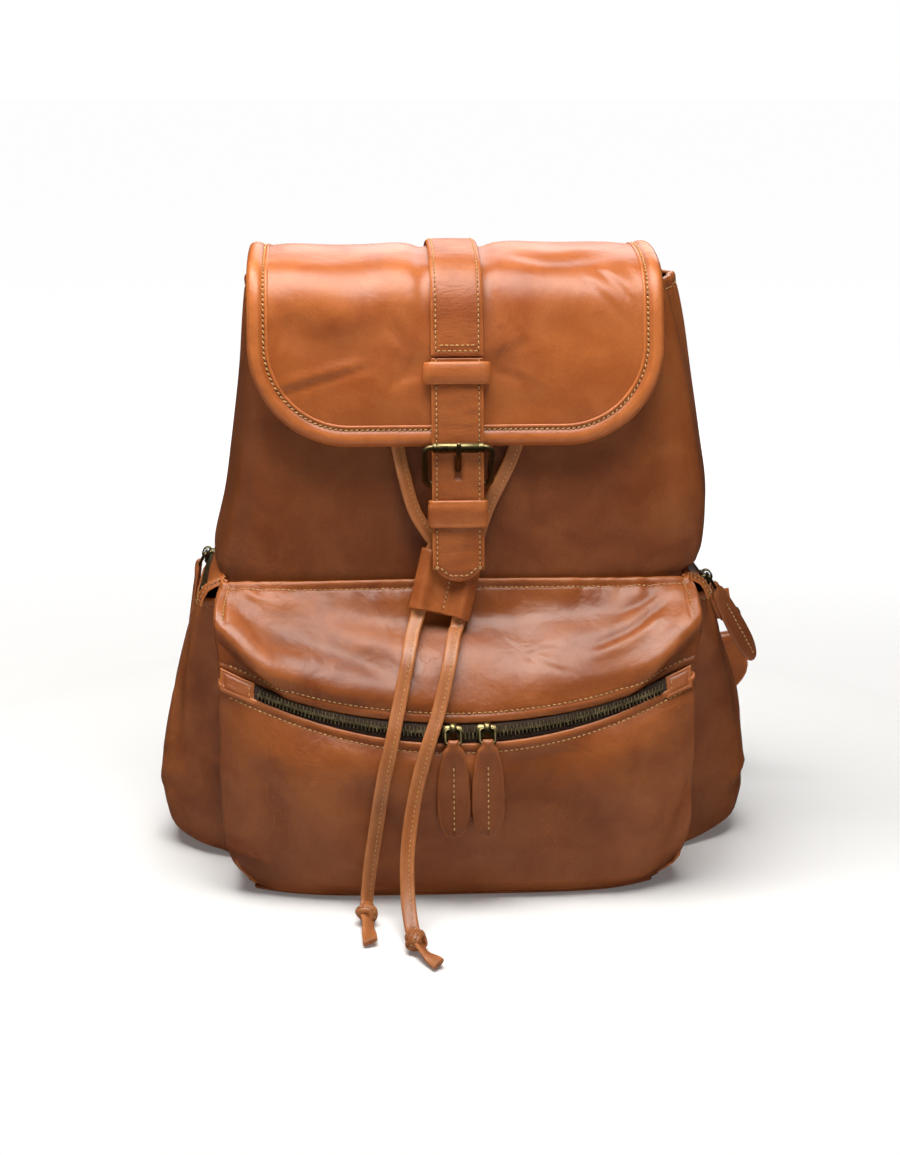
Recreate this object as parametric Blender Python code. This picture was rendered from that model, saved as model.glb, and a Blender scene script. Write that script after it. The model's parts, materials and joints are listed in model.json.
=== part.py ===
"""Leather backpack: drawcord main bag, front flap with a strap and roller buckle, zipped front pocket and two
zipped side pockets.

Sizes are millimetres, turned into metres where a mesh or a curve is made. The front faces -Y, the bag's right
as seen from the front is +X, and the base stands on z = 0 with the origin under its centre.
"""

import math

import bmesh
import bpy
from mathutils import Matrix, Vector

MM = 0.001
GAP = 0.4

# Leather, reinforcement and cord thicknesses.
PANEL_THICKNESS = 3.0
POCKET_THICKNESS = 2.5
STRAP_THICKNESS = 3.0
BINDING_THICKNESS = 1.4
CORD_RADIUS = 3.0

# Main bag: outer lines by height, each row (z, value). Every row is also a row of facets.
BASE_THICKNESS = 4.0
WALL_START = BASE_THICKNESS + GAP
BODY_HALF_WIDTH = [
    (WALL_START, 143.0), (20.0, 148.0), (60.0, 150.0), (120.0, 150.0), (184.0, 149.5),
    (228.0, 147.5), (266.0, 144.0), (300.0, 141.0), (330.0, 138.5), (358.0, 135.0), (366.0, 133.5),
]
FRONT_LINE = [
    (WALL_START, -68.0), (20.0, -69.5), (60.0, -70.0), (120.0, -68.0), (184.0, -64.0),
    (228.0, -62.0), (266.0, -57.0), (300.0, -53.0), (330.0, -48.5), (358.0, -44.0), (366.0, -42.5),
]
BACK_LINE = [
    (WALL_START, 67.0), (20.0, 69.0), (60.0, 70.0), (120.0, 69.0), (184.0, 66.0),
    (228.0, 64.0), (266.0, 61.0), (300.0, 58.0), (330.0, 55.0), (358.0, 52.0), (366.0, 51.0),
]
PANEL_BULGE = 5.0
SIDE_BULGE = 7.0
SIDE_INSET = PANEL_THICKNESS + 0.6
BASE_HALF_WIDTH = 142.0
BASE_HALF_DEPTH = 66.0
BASE_CORNER = 16.0
BOARD_HALF_WIDTH = 136.0
BOARD_HALF_DEPTH = 57.0
BOARD_CORNER = 14.0
BOARD_THICKNESS = 2.5
BODY_MIDDLE_Z = 180.0

# Front pocket rows: (half width, y at the centre, y at the edge, z at the centre, z at the edge).
POCKET_UPPER_ROWS = [
    (143.0, -67.5, -64.5, 186.0, 184.0),
    (146.0, -80.0, -78.0, 162.0, 177.0),
    (147.0, -98.0, -90.0, 147.5, 169.0),
    (147.0, -112.0, -99.0, 135.0, 161.0),
    (146.5, -120.5, -104.0, 123.0, 153.0),
]
POCKET_LOWER_ROWS = [
    (147.0, -135.2, -114.0, 80.0, 100.0),
    (146.0, -137.0, -115.0, 50.0, 60.0),
    (144.0, -133.0, -113.0, 22.0, 25.0),
    (140.0, -127.0, -110.0, 4.0, 4.0),
]
POCKET_SIDE_ROWS = [
    (5.0, 140.0, -110.0), (25.0, 144.0, -113.0), (60.0, 146.0, -115.0), (100.0, 147.0, -115.0),
    (128.0, 146.5, -112.0), (142.0, 146.5, -104.0), (156.0, 146.5, -99.0), (168.0, 146.0, -86.0),
]
POCKET_EDGE_POWER = 4
POCKET_FLOOR_BOTTOM = 0.5
POCKET_FLOOR_BACK = -70.5
POCKET_SIDE_INSET = 1.5
POCKET_SIDE_FRONT_GAP = 3.5
POCKET_SIDE_BACK_GAP = 2.0

# The front zip is an arc in a plane that leans forward, so one hinge axis carries each slider along it.
ZIP_CENTRE = Vector((0.0, 24.0, 375.0))
ZIP_RADIUS = 309.0
ZIP_DOWN = Vector((0.0, -0.492, -0.871)).normalized()
ZIP_OUT = Vector((0.0, -0.871, 0.492)).normalized()
ZIP_SLOT_HALF = 7.0
ZIP_SLOT_REACH = 146.0
ZIP_HALF_LENGTH = 125.0
ZIP_END_LENGTH = 18.0
ZIP_END_HALF = 6.0
ZIP_END_RISE = 0.8
TAPE_THICKNESS = 1.0
RING_HANG = Vector((0.0, -0.60, -0.80))
PULL_HANG = Vector((0.0, -0.15, -1.0))
TAPE_HALF = 6.4
CHAIN_HALF = 3.0
CHAIN_HEIGHT = 2.4
SLIDER_X = {"left": -6.0, "right": 14.5}

# Side pockets: (z, how far out the wall stands from the bag's centre plane).
SIDE_POCKET_LINE = [
    (1.5, 170.0), (8.0, 178.0), (24.0, 184.0), (52.0, 188.0), (100.0, 183.0), (140.0, 173.0), (167.0, 162.5),
]
SIDE_POCKET_HALF_DEPTH = 55.0
SIDE_PANEL_HALF_DEPTH = 58.0
SIDE_ZIP_X = 157.0
SIDE_ZIP_Z = 176.0
SIDE_ZIP_HALF_LENGTH = 47.0
SIDE_ZIP_OUT = Vector((0.87, 0.0, 0.49)).normalized()
SIDE_SLIDER_Y = {"left": 42.0, "right": -38.0}
SIDE_PULL_LEAN = {"left": 0.16, "right": 0.40}

# Leather pulls.
PULL_LENGTH = 60.0
PULL_WIDTH = 19.5
PULL_NECK = 12.5
PULL_EYE = 6.4
PULL_THICKNESS = 4.2
RING_WIRE = 0.9
RING_HALF_WIDTH = 4.6
RING_DROP = 9.6

# Slider: its plate, lips and the bridge over its roof, which holds the ring. Along the down axis the bridge
# runs from its tip to its front, and it stands on the stretch from its back to its front.
SLIDER_HALF_LENGTH = 6.0
SLIDER_LIP = 1.6
SLIDER_ROOF = 1.4
BRIDGE_HALF_WIDTH = 2.2
BRIDGE_HEIGHT = 3.5
BRIDGE_TIP = -3.2
BRIDGE_BACK = 0.2
BRIDGE_FRONT = 1.8

# Where a slider's bridge holds its ring: below the slider's centre, and above its roof.
BRIDGE_DOWN = -1.2
BRIDGE_RISE = 2.6

# Flap: outer line from the rear seam over the top to the hem, rows (y, z).
FLAP_LINE = [
    (57.8, 338.0), (58.8, 352.0), (57.5, 364.0), (50.0, 374.5), (30.0, 381.5), (5.0, 383.0), (-22.0, 379.5),
    (-42.0, 372.5), (-54.5, 358.0), (-61.0, 335.0), (-65.5, 312.0), (-68.5, 290.0), (-70.0, 270.5),
]
FLAP_HALF_WIDTH = 125.0
FLAP_CORNER = 60.0
FLAP_THICKNESS = 3.0
FLAP_HINGE = (0.0, 56.5, 340.0)
BINDING_WIDTH = 11.0
FLAP_LIFT = 0.9

# Closure strap and roller buckle: the strap's centre line, rows (y, z), and the hardware round it.
STRAP_WIDTH = 30.0
STRAP_LINE = [
    (-66.2, 322.0), (-71.3, 296.0), (-74.2, 272.0), (-76.6, 257.0), (-79.8, 228.0), (-83.0, 205.0),
    (-86.0, 189.0),
]
STRAP_HOLE_Z = (251.5, 264.5)
STRAP_HOLE_HALF = 2.6
FLAP_STRAP_START = 34.0
FLAP_STRAP_END = 53.0
BINDING_START = 26.0
ROLLER_CENTRE = Vector((0.0, -79.7, 270.0))
HEEL_CENTRE = Vector((0.0, -70.8, 246.0))
BUCKLE_WIDTH = 44.0
BUCKLE_WIRE = 1.8
BUCKLE_CORNER = 4.0
ROLLER_RADIUS = 3.0
ROLLER_HALF_LENGTH = 15.5
TAB_LINE = [(-75.4, 238.0), (-76.8, 226.0), (-79.2, 210.0)]
SNAP_Z = 288.0
SNAP_RADIUS = 9.0
KEEPER_WALL = 2.0
FLAP_KEEPER_Z = 313.5
FLAP_KEEPER_HEIGHT = 13.0
FLAP_KEEPER_FOOT = 1.2
TAB_KEEPER_Z = 229.5
TAB_KEEPER_HEIGHT = 16.0
TAB_KEEPER_DEPTH = 7.4
TAB_THICKNESS = 2.4
TAB_BACK_LINE = [(-67.4, 242.5), (-68.6, 239.0)]
PRONG_LINE = [
    (-72.8, 248.4), (-74.0, 253.0), (-77.6, 258.5), (-82.0, 263.5), (-84.6, 269.0), (-84.9, 274.0),
]
PRONG_WIDTH = 3.0
PRONG_THICKNESS = 2.2
PRONG_EYE_WALL = 1.5
PRONG_EYE_HALF = 1.6
PRONG_SLOT_HALF = 2.4
PRONG_SLOT_Z = (241.0, 252.5)

# Drawcord: eyelets, sliding toggle and the free ends.
EYELET_X = 42.0
EYELET_Z = 345.0
EYELET_BORE = 4.4
EYELET_RIM = 3.8
EYELET_FLANGE = 0.9
CORD_START = 7.4
MOUTH_ROUTE = [
    (-54.0, -34.0), (-74.0, -33.0), (-100.0, -32.0), (-117.0, -24.0), (-121.0, 0.0),
    (-118.0, 26.0), (-100.0, 39.5), (-60.0, 43.5), (0.0, 45.0),
]
TOGGLE_CENTRE = Vector((-7.8, -79.5, 185.5))
TOGGLE_LEAN = 20.0
TOGGLE_TURN = -13.5
TOGGLE_WIDTH = 38.0
TOGGLE_HEIGHT = 36.0
TOGGLE_THICKNESS = 9.0
TOGGLE_CHANNEL = 12.5
CHANNEL_RADIUS = CORD_RADIUS + 0.5
LEFT_CORD_ROUTE = [
    (-28.5, -95.0, 159.5), (-32.0, -111.5, 147.0), (-38.0, -126.5, 122.0), (-42.5, -137.5, 104.0),
    (-48.0, -142.5, 80.0), (-52.0, -143.5, 55.0), (-56.0, -146.0, 30.0), (-58.0, -150.0, 14.0),
]
RIGHT_CORD_ROUTE = [
    (-3.5, -96.0, 157.5), (-7.0, -112.5, 145.0), (-14.0, -127.5, 120.0), (-21.0, -138.5, 102.0),
    (-27.5, -144.0, 80.0), (-32.0, -150.0, 58.0), (-34.5, -160.5, 38.0), (-34.5, -175.0, 20.0),
    (-33.0, -190.0, 9.5),
]
# A free cord under the flap: (how far out from the centre plane, y, z).
UNDER_FLAP_ROUTE = [(41.5, -55.4, 332.0), (40.0, -58.2, 300.0), (35.5, -61.6, 266.0)]
LEFT_KNOT_ROUTE = [(-58.6, -154.5, 8.0), (-58.8, -162.0, 7.6), (-58.0, -172.0, 4.8), (-57.0, -196.0, 3.6)]
RIGHT_KNOT_ROUTE = [(-32.0, -194.4, 8.0), (-31.0, -202.0, 7.6), (-27.5, -212.0, 4.8), (-19.0, -228.0, 3.6)]
KNOT_RADIUS = 7.0

# Back: yoke, haul loop and shoulder straps. A strap's reach is how far it bows out from the centre plane.
STRAP_REACH = {"left": -164.0, "right": 190.0}
ADJUSTER_Y = 82.0
ADJUSTER_Z = 112.0
ADJUSTER_HALF_WIDTH = 17.0
ADJUSTER_HALF_HEIGHT = 10.0
ADJUSTER_WIRE = 2.0
WEB_WIDTH = 25.0
HAUL_PIVOT = Vector((0.0, 72.0, 318.0))
HAUL_WIDTH = 18.0
HAUL_ROUTE = [
    (-26.0, 72.0, 318.0), (-26.0, 72.0, 306.0), (-19.0, 72.0, 294.0), (0.0, 72.0, 289.0),
    (19.0, 72.0, 294.0), (26.0, 72.0, 306.0), (26.0, 72.0, 318.0),
]
YOKE_HALF_WIDTH = 96.0
YOKE_LEVELS = (292.0, 300.0, 318.0, 330.0)
YOKE_RISE = 3.0
YOKE_THICKNESS = 2.2

LEATHER = ("leather", (0.42, 0.17, 0.055), 0.38, 0.0)
CORD_LEATHER = ("cord_leather", (0.35, 0.13, 0.045), 0.42, 0.0)
BRASS = ("antique_brass", (0.42, 0.33, 0.15), 0.35, 1.0)
ZIP_METAL = ("zip_metal", (0.30, 0.24, 0.13), 0.4, 1.0)
BOARD = ("board", (0.30, 0.24, 0.17), 0.9, 0.0)

SIDES = (("left", -1), ("right", 1))


# Making objects -----------------------------------------------------------------------------------


def material(look):
    """The named material, made on first use."""
    name, colour, roughness, metallic = look
    if name in bpy.data.materials:
        return bpy.data.materials[name]
    made = bpy.data.materials.new(name)
    made.use_nodes = True
    shader = made.node_tree.nodes["Principled BSDF"]
    shader.inputs["Base Color"].default_value = (*colour, 1.0)
    shader.inputs["Roughness"].default_value = roughness
    shader.inputs["Metallic"].default_value = metallic
    return made


def add_object(name, data, look, pivot):
    """Link a mesh or curve whose points are already measured from pivot."""
    made = bpy.data.objects.new(name, data)
    made.location = Vector(pivot) * MM
    data.materials.append(material(look))
    bpy.context.scene.collection.objects.link(made)
    return made


def skin(name, rings, look, pivot=(0.0, 0.0, 0.0), closed=False, strip=False):
    """Closed solid through equal rings of points; strip caps a thin ring with quads, not one polygon."""
    work = bmesh.new()
    loops = [[work.verts.new((Vector(p) - Vector(pivot)) * MM) for p in ring] for ring in rings]
    spans = list(zip(loops, loops[1:]))
    if closed:
        spans.append((loops[-1], loops[0]))
    for near, far in spans:
        for i in range(len(near)):
            j = (i + 1) % len(near)
            work.faces.new((near[i], near[j], far[j], far[i]))
    if not closed:
        for loop in (loops[0], loops[-1]):
            cap(work, loop, strip)
    bmesh.ops.recalc_face_normals(work, faces=work.faces)
    mesh = bpy.data.meshes.new(name)
    work.to_mesh(mesh)
    work.free()
    mesh.shade_smooth()
    mesh.set_sharp_from_angle(angle=math.radians(35))
    return add_object(name, mesh, look, pivot)


def cap(work, loop, strip):
    """Close one end of a skinned solid."""
    if not strip:
        work.faces.new(loop)
        return
    last = len(loop) - 1
    for i in range(len(loop) // 2 - 1):
        work.faces.new((loop[i], loop[i + 1], loop[last - i - 1], loop[last - i]))


def sheet(name, rows, thickness, look, inside, pivot=(0.0, 0.0, 0.0), closed=False):
    """Closed solid from a grid of outer points, thickened towards the point inside."""
    points = [[Vector(p) for p in row] for row in rows]
    rings = []
    for r, row in enumerate(points):
        inner = []
        for c, point in enumerate(row):
            across = row[min(c + 1, len(row) - 1)] - row[max(c - 1, 0)]
            along = points[min(r + 1, len(points) - 1)][c] - points[max(r - 1, 0)][c]
            normal = across.cross(along).normalized()
            if normal.dot(Vector(inside) - point) < 0:
                normal = -normal
            inner.append(point + normal * thickness)
        rings.append(row + inner[::-1])
    return skin(name, rings, look, pivot, closed, strip=True)


def ribbon(name, stations, look, pivot=(0.0, 0.0, 0.0)):
    """Strap through stations (centre, width direction, width, thickness)."""
    rings = []
    for i, (centre, across, width, thickness) in enumerate(stations):
        ahead = stations[min(i + 1, len(stations) - 1)][0] - stations[max(i - 1, 0)][0]
        across = (across - ahead * (across.dot(ahead) / ahead.length_squared)).normalized()
        out = ahead.cross(across).normalized()
        side = across * (width / 2)
        face = out * (thickness / 2)
        rings.append([centre - side - face, centre + side - face, centre + side + face, centre - side + face])
    return skin(name, rings, look, pivot)


def wire_loop(name, path, normal, radius, look, pivot=(0.0, 0.0, 0.0), sides=8):
    """Closed ring of round wire that follows a flat closed path."""
    rings = []
    for i, point in enumerate(path):
        ahead = (path[(i + 1) % len(path)] - path[i - 1]).normalized()
        out = ahead.cross(normal).normalized()
        ring = []
        for k in range(sides):
            turn = 2 * math.pi * k / sides
            ring.append(point + (out * math.cos(turn) + normal * math.sin(turn)) * radius)
        rings.append(ring)
    return skin(name, rings, look, pivot, closed=True)


def turned(name, outline, place, look, pivot=(0.0, 0.0, 0.0), steps=20):
    """Ring turned about the Z axis of place from a closed outline of (radius, height)."""
    rings = []
    for k in range(steps):
        turn = 2 * math.pi * k / steps
        rings.append([place @ Vector((r * math.cos(turn), r * math.sin(turn), h)) for r, h in outline])
    return skin(name, rings, look, pivot, closed=True)


def disc(name, radius, height, place, look, pivot=(0.0, 0.0, 0.0), steps=24):
    """Solid disc that stands on the XY plane of place."""
    turns = [2 * math.pi * k / steps for k in range(steps)]
    edge = [(radius * math.cos(turn), radius * math.sin(turn)) for turn in turns]
    rings = [[place @ Vector((x, y, h)) for x, y in edge] for h in (0.0, height)]
    return skin(name, rings, look, pivot)


def prism(name, outline, bottom, top, place, look, pivot=(0.0, 0.0, 0.0)):
    """Flat outline in the XY plane of place, extruded along its Z axis."""
    rings = [[place @ Vector((x, y, h)) for x, y in outline] for h in (bottom, top)]
    return skin(name, rings, look, pivot)


def band(name, inner, wall, height, place, look, pivot=(0.0, 0.0, 0.0)):
    """Rectangular loop round the Z axis of place, height tall, with an inner (x, y) opening."""
    rings = []
    for sx, sy in ((1, 1), (-1, 1), (-1, -1), (1, -1)):
        near = (sx * inner[0] / 2, sy * inner[1] / 2)
        far = (near[0] + sx * wall, near[1] + sy * wall)
        low = -height / 2
        high = height / 2
        corners = ((*near, low), (*far, low), (*far, high), (*near, high))
        rings.append([place @ Vector(corner) for corner in corners])
    return skin(name, rings, look, pivot, closed=True)


def tube(name, points, radii, look, pivot=(0.0, 0.0, 0.0), sides=2):
    """Round cord as a bevelled poly curve with filled ends."""
    curve = bpy.data.curves.new(name, "CURVE")
    curve.dimensions = "3D"
    curve.bevel_depth = CORD_RADIUS * MM
    curve.bevel_resolution = sides
    curve.use_fill_caps = True
    spline = curve.splines.new("POLY")
    spline.points.add(len(points) - 1)
    for slot, point, radius in zip(spline.points, points, radii):
        slot.co = (*((Vector(point) - Vector(pivot)) * MM), 1.0)
        slot.radius = radius / CORD_RADIUS
    return add_object(name, curve, look, pivot)


def drill(target, place, radius, half_depth):
    """Cut a round hole through target along the Z axis of place."""
    turns = [2 * math.pi * (k + 0.5) / 16 for k in range(16)]
    edge = [(radius * math.cos(turn), radius * math.sin(turn)) for turn in turns]
    subtract(target, [[place @ Vector((x, y, h)) for x, y in edge] for h in (-half_depth, half_depth)])


def subtract(target, rings):
    """Cut the solid through rings out of target."""
    cutter = skin(target.name + "_cutter", rings, BOARD)
    cutter.hide_render = True
    cutter.display_type = "WIRE"
    cut = target.modifiers.new("cut", "BOOLEAN")
    cut.operation = "DIFFERENCE"
    cut.object = cutter


def place_at(origin, normal, across):
    """Placement whose Z axis is normal and whose X axis is across, squared up to it."""
    up = Vector(normal).normalized()
    x_axis = (Vector(across) - up * Vector(across).dot(up)).normalized()
    turn = Matrix((x_axis, up.cross(x_axis), up)).transposed()
    return Matrix.Translation(Vector(origin)) @ turn.to_4x4()


def at(line, height):
    """Value of a (height, value) line at one height."""
    for (low, before), (high, after) in zip(line, line[1:]):
        if height <= high:
            share = max(0.0, (height - low) / (high - low))
            return before + (after - before) * share
    return line[-1][1]


def ticks(steps):
    """Even parameters from -1 to 1."""
    return [2 * i / steps - 1 for i in range(steps + 1)]


def smooth(route, steps):
    """Catmull-Rom samples through route, steps of them on each stretch."""
    rows = [Vector(p) for p in route]
    rows = [rows[0] * 2 - rows[1], *rows, rows[-1] * 2 - rows[-2]]
    found = []
    for a, b, c, d in zip(rows, rows[1:], rows[2:], rows[3:]):
        for k in range(steps):
            s = k / steps
            found.append(
                (b * 2 + (c - a) * s + (a * 2 - b * 5 + c * 4 - d) * s**2 + (b * 3 - a - c * 3 + d) * s**3) / 2
            )
    return [*found, rows[-2]]


def spaced(points, gap):
    """The same run of points, resampled about gap apart."""
    lengths = [0.0]
    for near, far in zip(points, points[1:]):
        lengths.append(lengths[-1] + (far - near).length)
    count = max(2, round(lengths[-1] / gap))
    found = []
    span = 0
    for k in range(count + 1):
        target = lengths[-1] * k / count
        while span < len(lengths) - 2 and lengths[span + 1] < target:
            span += 1
        share = (target - lengths[span]) / (lengths[span + 1] - lengths[span])
        found.append(points[span].lerp(points[span + 1], share))
    return found


def lerp_stations(route, ahead_steps):
    """Strap stations from a route of (x, y, z, width direction, width, thickness), smoothed."""
    centres = smooth([row[:3] for row in route], ahead_steps)
    across = smooth([row[3] for row in route], ahead_steps)
    sizes = smooth([(row[4], row[5], 0.0) for row in route], ahead_steps)
    return [(c, a.normalized(), s.x, s.y) for c, a, s in zip(centres, across, sizes)]


# Main bag -----------------------------------------------------------------------------------------


def panel_point(line, side, t, z):
    """Outer point of the front (side -1) or back (side 1) panel."""
    half = at(BODY_HALF_WIDTH, z) - SIDE_BULGE
    return Vector((half * t, at(line, z) - side * PANEL_BULGE * t * t, z))


def build_body():
    levels = [z for z, _ in FRONT_LINE]
    middle = (0.0, 0.0, BODY_MIDDLE_Z)
    for name, line, side in (("front_panel", FRONT_LINE, -1), ("back_panel", BACK_LINE, 1)):
        rows = [[panel_point(line, side, t, z) for t in ticks(12)] for z in levels]
        sheet(name, rows, PANEL_THICKNESS, LEATHER, middle)
    for name, side in SIDES:
        rows = []
        for z in levels:
            front = at(FRONT_LINE, z) + PANEL_BULGE + SIDE_INSET
            back = at(BACK_LINE, z) - PANEL_BULGE - SIDE_INSET
            row = []
            for t in ticks(8):
                y = (front + back) / 2 + t * (back - front) / 2
                row.append((side * (at(BODY_HALF_WIDTH, z) - SIDE_BULGE * t * t), y, z))
            rows.append(row)
        sheet("side_panel_" + name, rows, PANEL_THICKNESS, LEATHER, middle)
    flat = Matrix.Identity(4)
    base = rounded_rectangle(BASE_HALF_WIDTH, BASE_HALF_DEPTH, BASE_CORNER)
    prism("base_panel", base, 0.0, BASE_THICKNESS, flat, LEATHER)
    board = rounded_rectangle(BOARD_HALF_WIDTH, BOARD_HALF_DEPTH, BOARD_CORNER)
    board_low = WALL_START + GAP
    prism("base_board", board, board_low, board_low + BOARD_THICKNESS, flat, BOARD)


def rounded_rectangle(half_x, half_y, corner, steps=4):
    """Outline of a rectangle with round corners, anticlockwise."""
    found = []
    for quarter, (sx, sy) in enumerate(((1, 1), (-1, 1), (-1, -1), (1, -1))):
        for k in range(steps + 1):
            turn = math.pi / 2 * (quarter + k / steps)
            x = sx * (half_x - corner) + corner * math.cos(turn)
            found.append((x, sy * (half_y - corner) + corner * math.sin(turn)))
    return found


# Front pocket -------------------------------------------------------------------------------------


def pocket_row(half, y_centre, y_edge, z_centre, z_edge):
    """One row of the front pocket's outer face."""
    row = []
    for t in ticks(16):
        y = y_centre + (y_edge - y_centre) * abs(t) ** POCKET_EDGE_POWER
        row.append((half * t, y, z_centre + (z_edge - z_centre) * t * t))
    return row


def zip_point(x, below, out):
    """Point on the front zip's arc: x across, below its centre line and out from its plane."""
    radius = ZIP_RADIUS + below
    drop = math.sqrt(radius**2 - x**2)
    return ZIP_CENTRE + Vector((x, 0.0, 0.0)) + ZIP_DOWN * drop + ZIP_OUT * out


def build_front_pocket():
    inside = (0.0, -80.0, 90.0)
    slot_top = [zip_point(ZIP_SLOT_REACH * t, -ZIP_SLOT_HALF, 0.0) for t in ticks(16)]
    slot_bottom = [zip_point(ZIP_SLOT_REACH * t, ZIP_SLOT_HALF, 0.0) for t in ticks(16)]
    upper = [pocket_row(*row) for row in POCKET_UPPER_ROWS] + [slot_top]
    lower = [slot_bottom] + [pocket_row(*row) for row in POCKET_LOWER_ROWS]
    sheet("front_pocket_upper", upper, POCKET_THICKNESS, LEATHER, inside)
    sheet("front_pocket_lower", lower, POCKET_THICKNESS, LEATHER, inside)
    for name, side in SIDES:
        rows = []
        for z, half, edge in POCKET_SIDE_ROWS:
            front = edge + POCKET_THICKNESS + POCKET_SIDE_FRONT_GAP
            back = at(FRONT_LINE, z) + PANEL_BULGE - POCKET_SIDE_BACK_GAP
            x = side * (half - POCKET_SIDE_INSET)
            rows.append([(x, front + (back - front) * k / 3, z) for k in range(4)])
        sheet("front_pocket_side_" + name, rows, POCKET_THICKNESS, LEATHER, inside)
    half, y_centre, y_edge, low, _ = POCKET_LOWER_ROWS[-1]
    front_edge = [(x, y) for x, y, _ in pocket_row(half, y_centre, y_edge, low, low)]
    outline = front_edge + [(half, POCKET_FLOOR_BACK), (-half, POCKET_FLOOR_BACK)]
    prism("front_pocket_floor", outline, POCKET_FLOOR_BOTTOM, low - GAP, Matrix.Identity(4), LEATHER)
    build_front_zip()


def zip_section():
    """Section of a zip, tape and closed teeth together, as (below, out)."""
    low = [(-TAPE_HALF, -TAPE_THICKNESS), (TAPE_HALF, -TAPE_THICKNESS), (TAPE_HALF, 0.0)]
    teeth = [(CHAIN_HALF, 0.0), (CHAIN_HALF, CHAIN_HEIGHT), (-CHAIN_HALF, CHAIN_HEIGHT), (-CHAIN_HALF, 0.0)]
    return [*low, *teeth, (-TAPE_HALF, 0.0)]


def build_front_zip():
    rings = []
    for t in ticks(24):
        rings.append([zip_point(ZIP_HALF_LENGTH * t, below, out) for below, out in zip_section()])
    skin("front_zip", rings, ZIP_METAL)
    for name, side in SIDES:
        rows = []
        for k in range(5):
            x = side * (ZIP_HALF_LENGTH + 1.0 + ZIP_END_LENGTH * k / 4)
            rows.append([zip_point(x, ZIP_END_HALF * t, ZIP_END_RISE + BINDING_THICKNESS) for t in ticks(4)])
        sheet("front_zip_end_" + name, rows, BINDING_THICKNESS, LEATHER, inside=(0.0, -80.0, 110.0))
    for name, side in SIDES:
        x = SLIDER_X[name]
        down = (zip_point(x, 1.0, 0.0) - zip_point(x, 0.0, 0.0)).normalized()
        build_slider("front_slider_" + name, zip_point(x, 0.0, 0.0), ZIP_OUT, down)
        bridge = zip_point(x, BRIDGE_DOWN, CHAIN_HEIGHT + GAP + BRIDGE_RISE)
        top = bridge + RING_HANG * RING_DROP
        build_pull("front_" + name, bridge, top, PULL_HANG, Vector((1.0, 0.0, 0.0)))


def build_slider(name, centre, out, down):
    """Zip slider: a plate with two lips over the teeth, and the bridge that its ring hangs from."""
    along = down.cross(out)
    place = Matrix((along, down, out)).transposed().to_4x4()
    place.translation = centre
    lip = CHAIN_HALF + 0.5
    edge = lip + SLIDER_LIP
    roof = CHAIN_HEIGHT + GAP
    top = roof + SLIDER_ROOF
    arch = top + BRIDGE_HEIGHT
    foot = 0.6
    outline = [
        (-edge, foot), (-lip, foot), (-lip, roof), (lip, roof), (lip, foot), (edge, foot), (edge, top),
        (BRIDGE_FRONT, top), (BRIDGE_FRONT, arch), (BRIDGE_TIP, arch), (BRIDGE_TIP, arch - 1.0),
        (BRIDGE_BACK, arch - 1.0), (BRIDGE_BACK, top), (-edge, top),
    ]
    ends = (-SLIDER_HALF_LENGTH, SLIDER_HALF_LENGTH)
    made = skin(name, [[place @ Vector((a, b, h)) for b, h in outline] for a in ends], BRASS, centre)
    near = (BRIDGE_TIP - 0.7, BRIDGE_FRONT + 0.5)
    tall = (top + 0.2, arch + 0.6)
    corners = ((near[0], tall[0]), (near[1], tall[0]), (near[1], tall[1]), (near[0], tall[1]))
    for side in (-1, 1):
        spans = (BRIDGE_HALF_WIDTH * side, (SLIDER_HALF_LENGTH + 1.0) * side)
        subtract(made, [[place @ Vector((a, b, h)) for b, h in corners] for a in spans])


def build_pull(name, bridge, top, down, across):
    """Wire ring through a slider's bridge, and the stitched leather pull that hangs on it."""
    down = down.normalized()
    normal = across.cross(down).normalized()
    ring_down = (top - bridge).normalized()
    ring_normal = across.cross(ring_down).normalized()
    length = (top - bridge).length
    path = []
    for x, y in rounded_rectangle(RING_HALF_WIDTH, length / 2, 2.4, steps=3):
        path.append(bridge + across * x + ring_down * (length / 2 - y))
    wire_loop(name + "_ring", path, ring_normal, RING_WIRE, BRASS, pivot=bridge, sides=6)
    place = Matrix((across, down, normal)).transposed().to_4x4()
    place.translation = top
    half_eye = PULL_EYE / 2
    half_neck = PULL_NECK / 2
    half_wide = PULL_WIDTH / 2
    right = [
        (half_eye, -2.4), (half_eye, 1.8), (half_neck, 3.2), (half_neck + 1.2, 14.0), (half_wide, 30.0),
        (half_wide, 38.0), (half_wide - 2.2, 47.0), (half_wide - 5.4, PULL_LENGTH - 7.0),
        (2.4, PULL_LENGTH - 4.4),
    ]
    outline = right + [(-x, y) for x, y in reversed(right)]
    half = PULL_THICKNESS / 2
    pull = prism(name + "_pull", outline, -half, half, place, CORD_LEATHER, pivot=bridge)
    drill(pull, place @ Matrix.Rotation(math.pi / 2, 4, "Y"), RING_WIRE + GAP, PULL_NECK)


# Side pockets -------------------------------------------------------------------------------------


def build_side_pockets():
    for name, side in SIDES:
        seam_z = [1.5, *(z for z, _ in SIDE_POCKET_LINE)]
        rows = []
        for index, z in enumerate(seam_z):
            out = at(SIDE_POCKET_LINE, z) if index else BASE_HALF_WIDTH + 6.0
            rows.append(side_pocket_row(side, z, out))
        sheet("side_pocket_" + name, rows, POCKET_THICKNESS, LEATHER, inside=(side * 152.0, 0.0, 60.0))
        build_side_zip(name, side)


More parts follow.
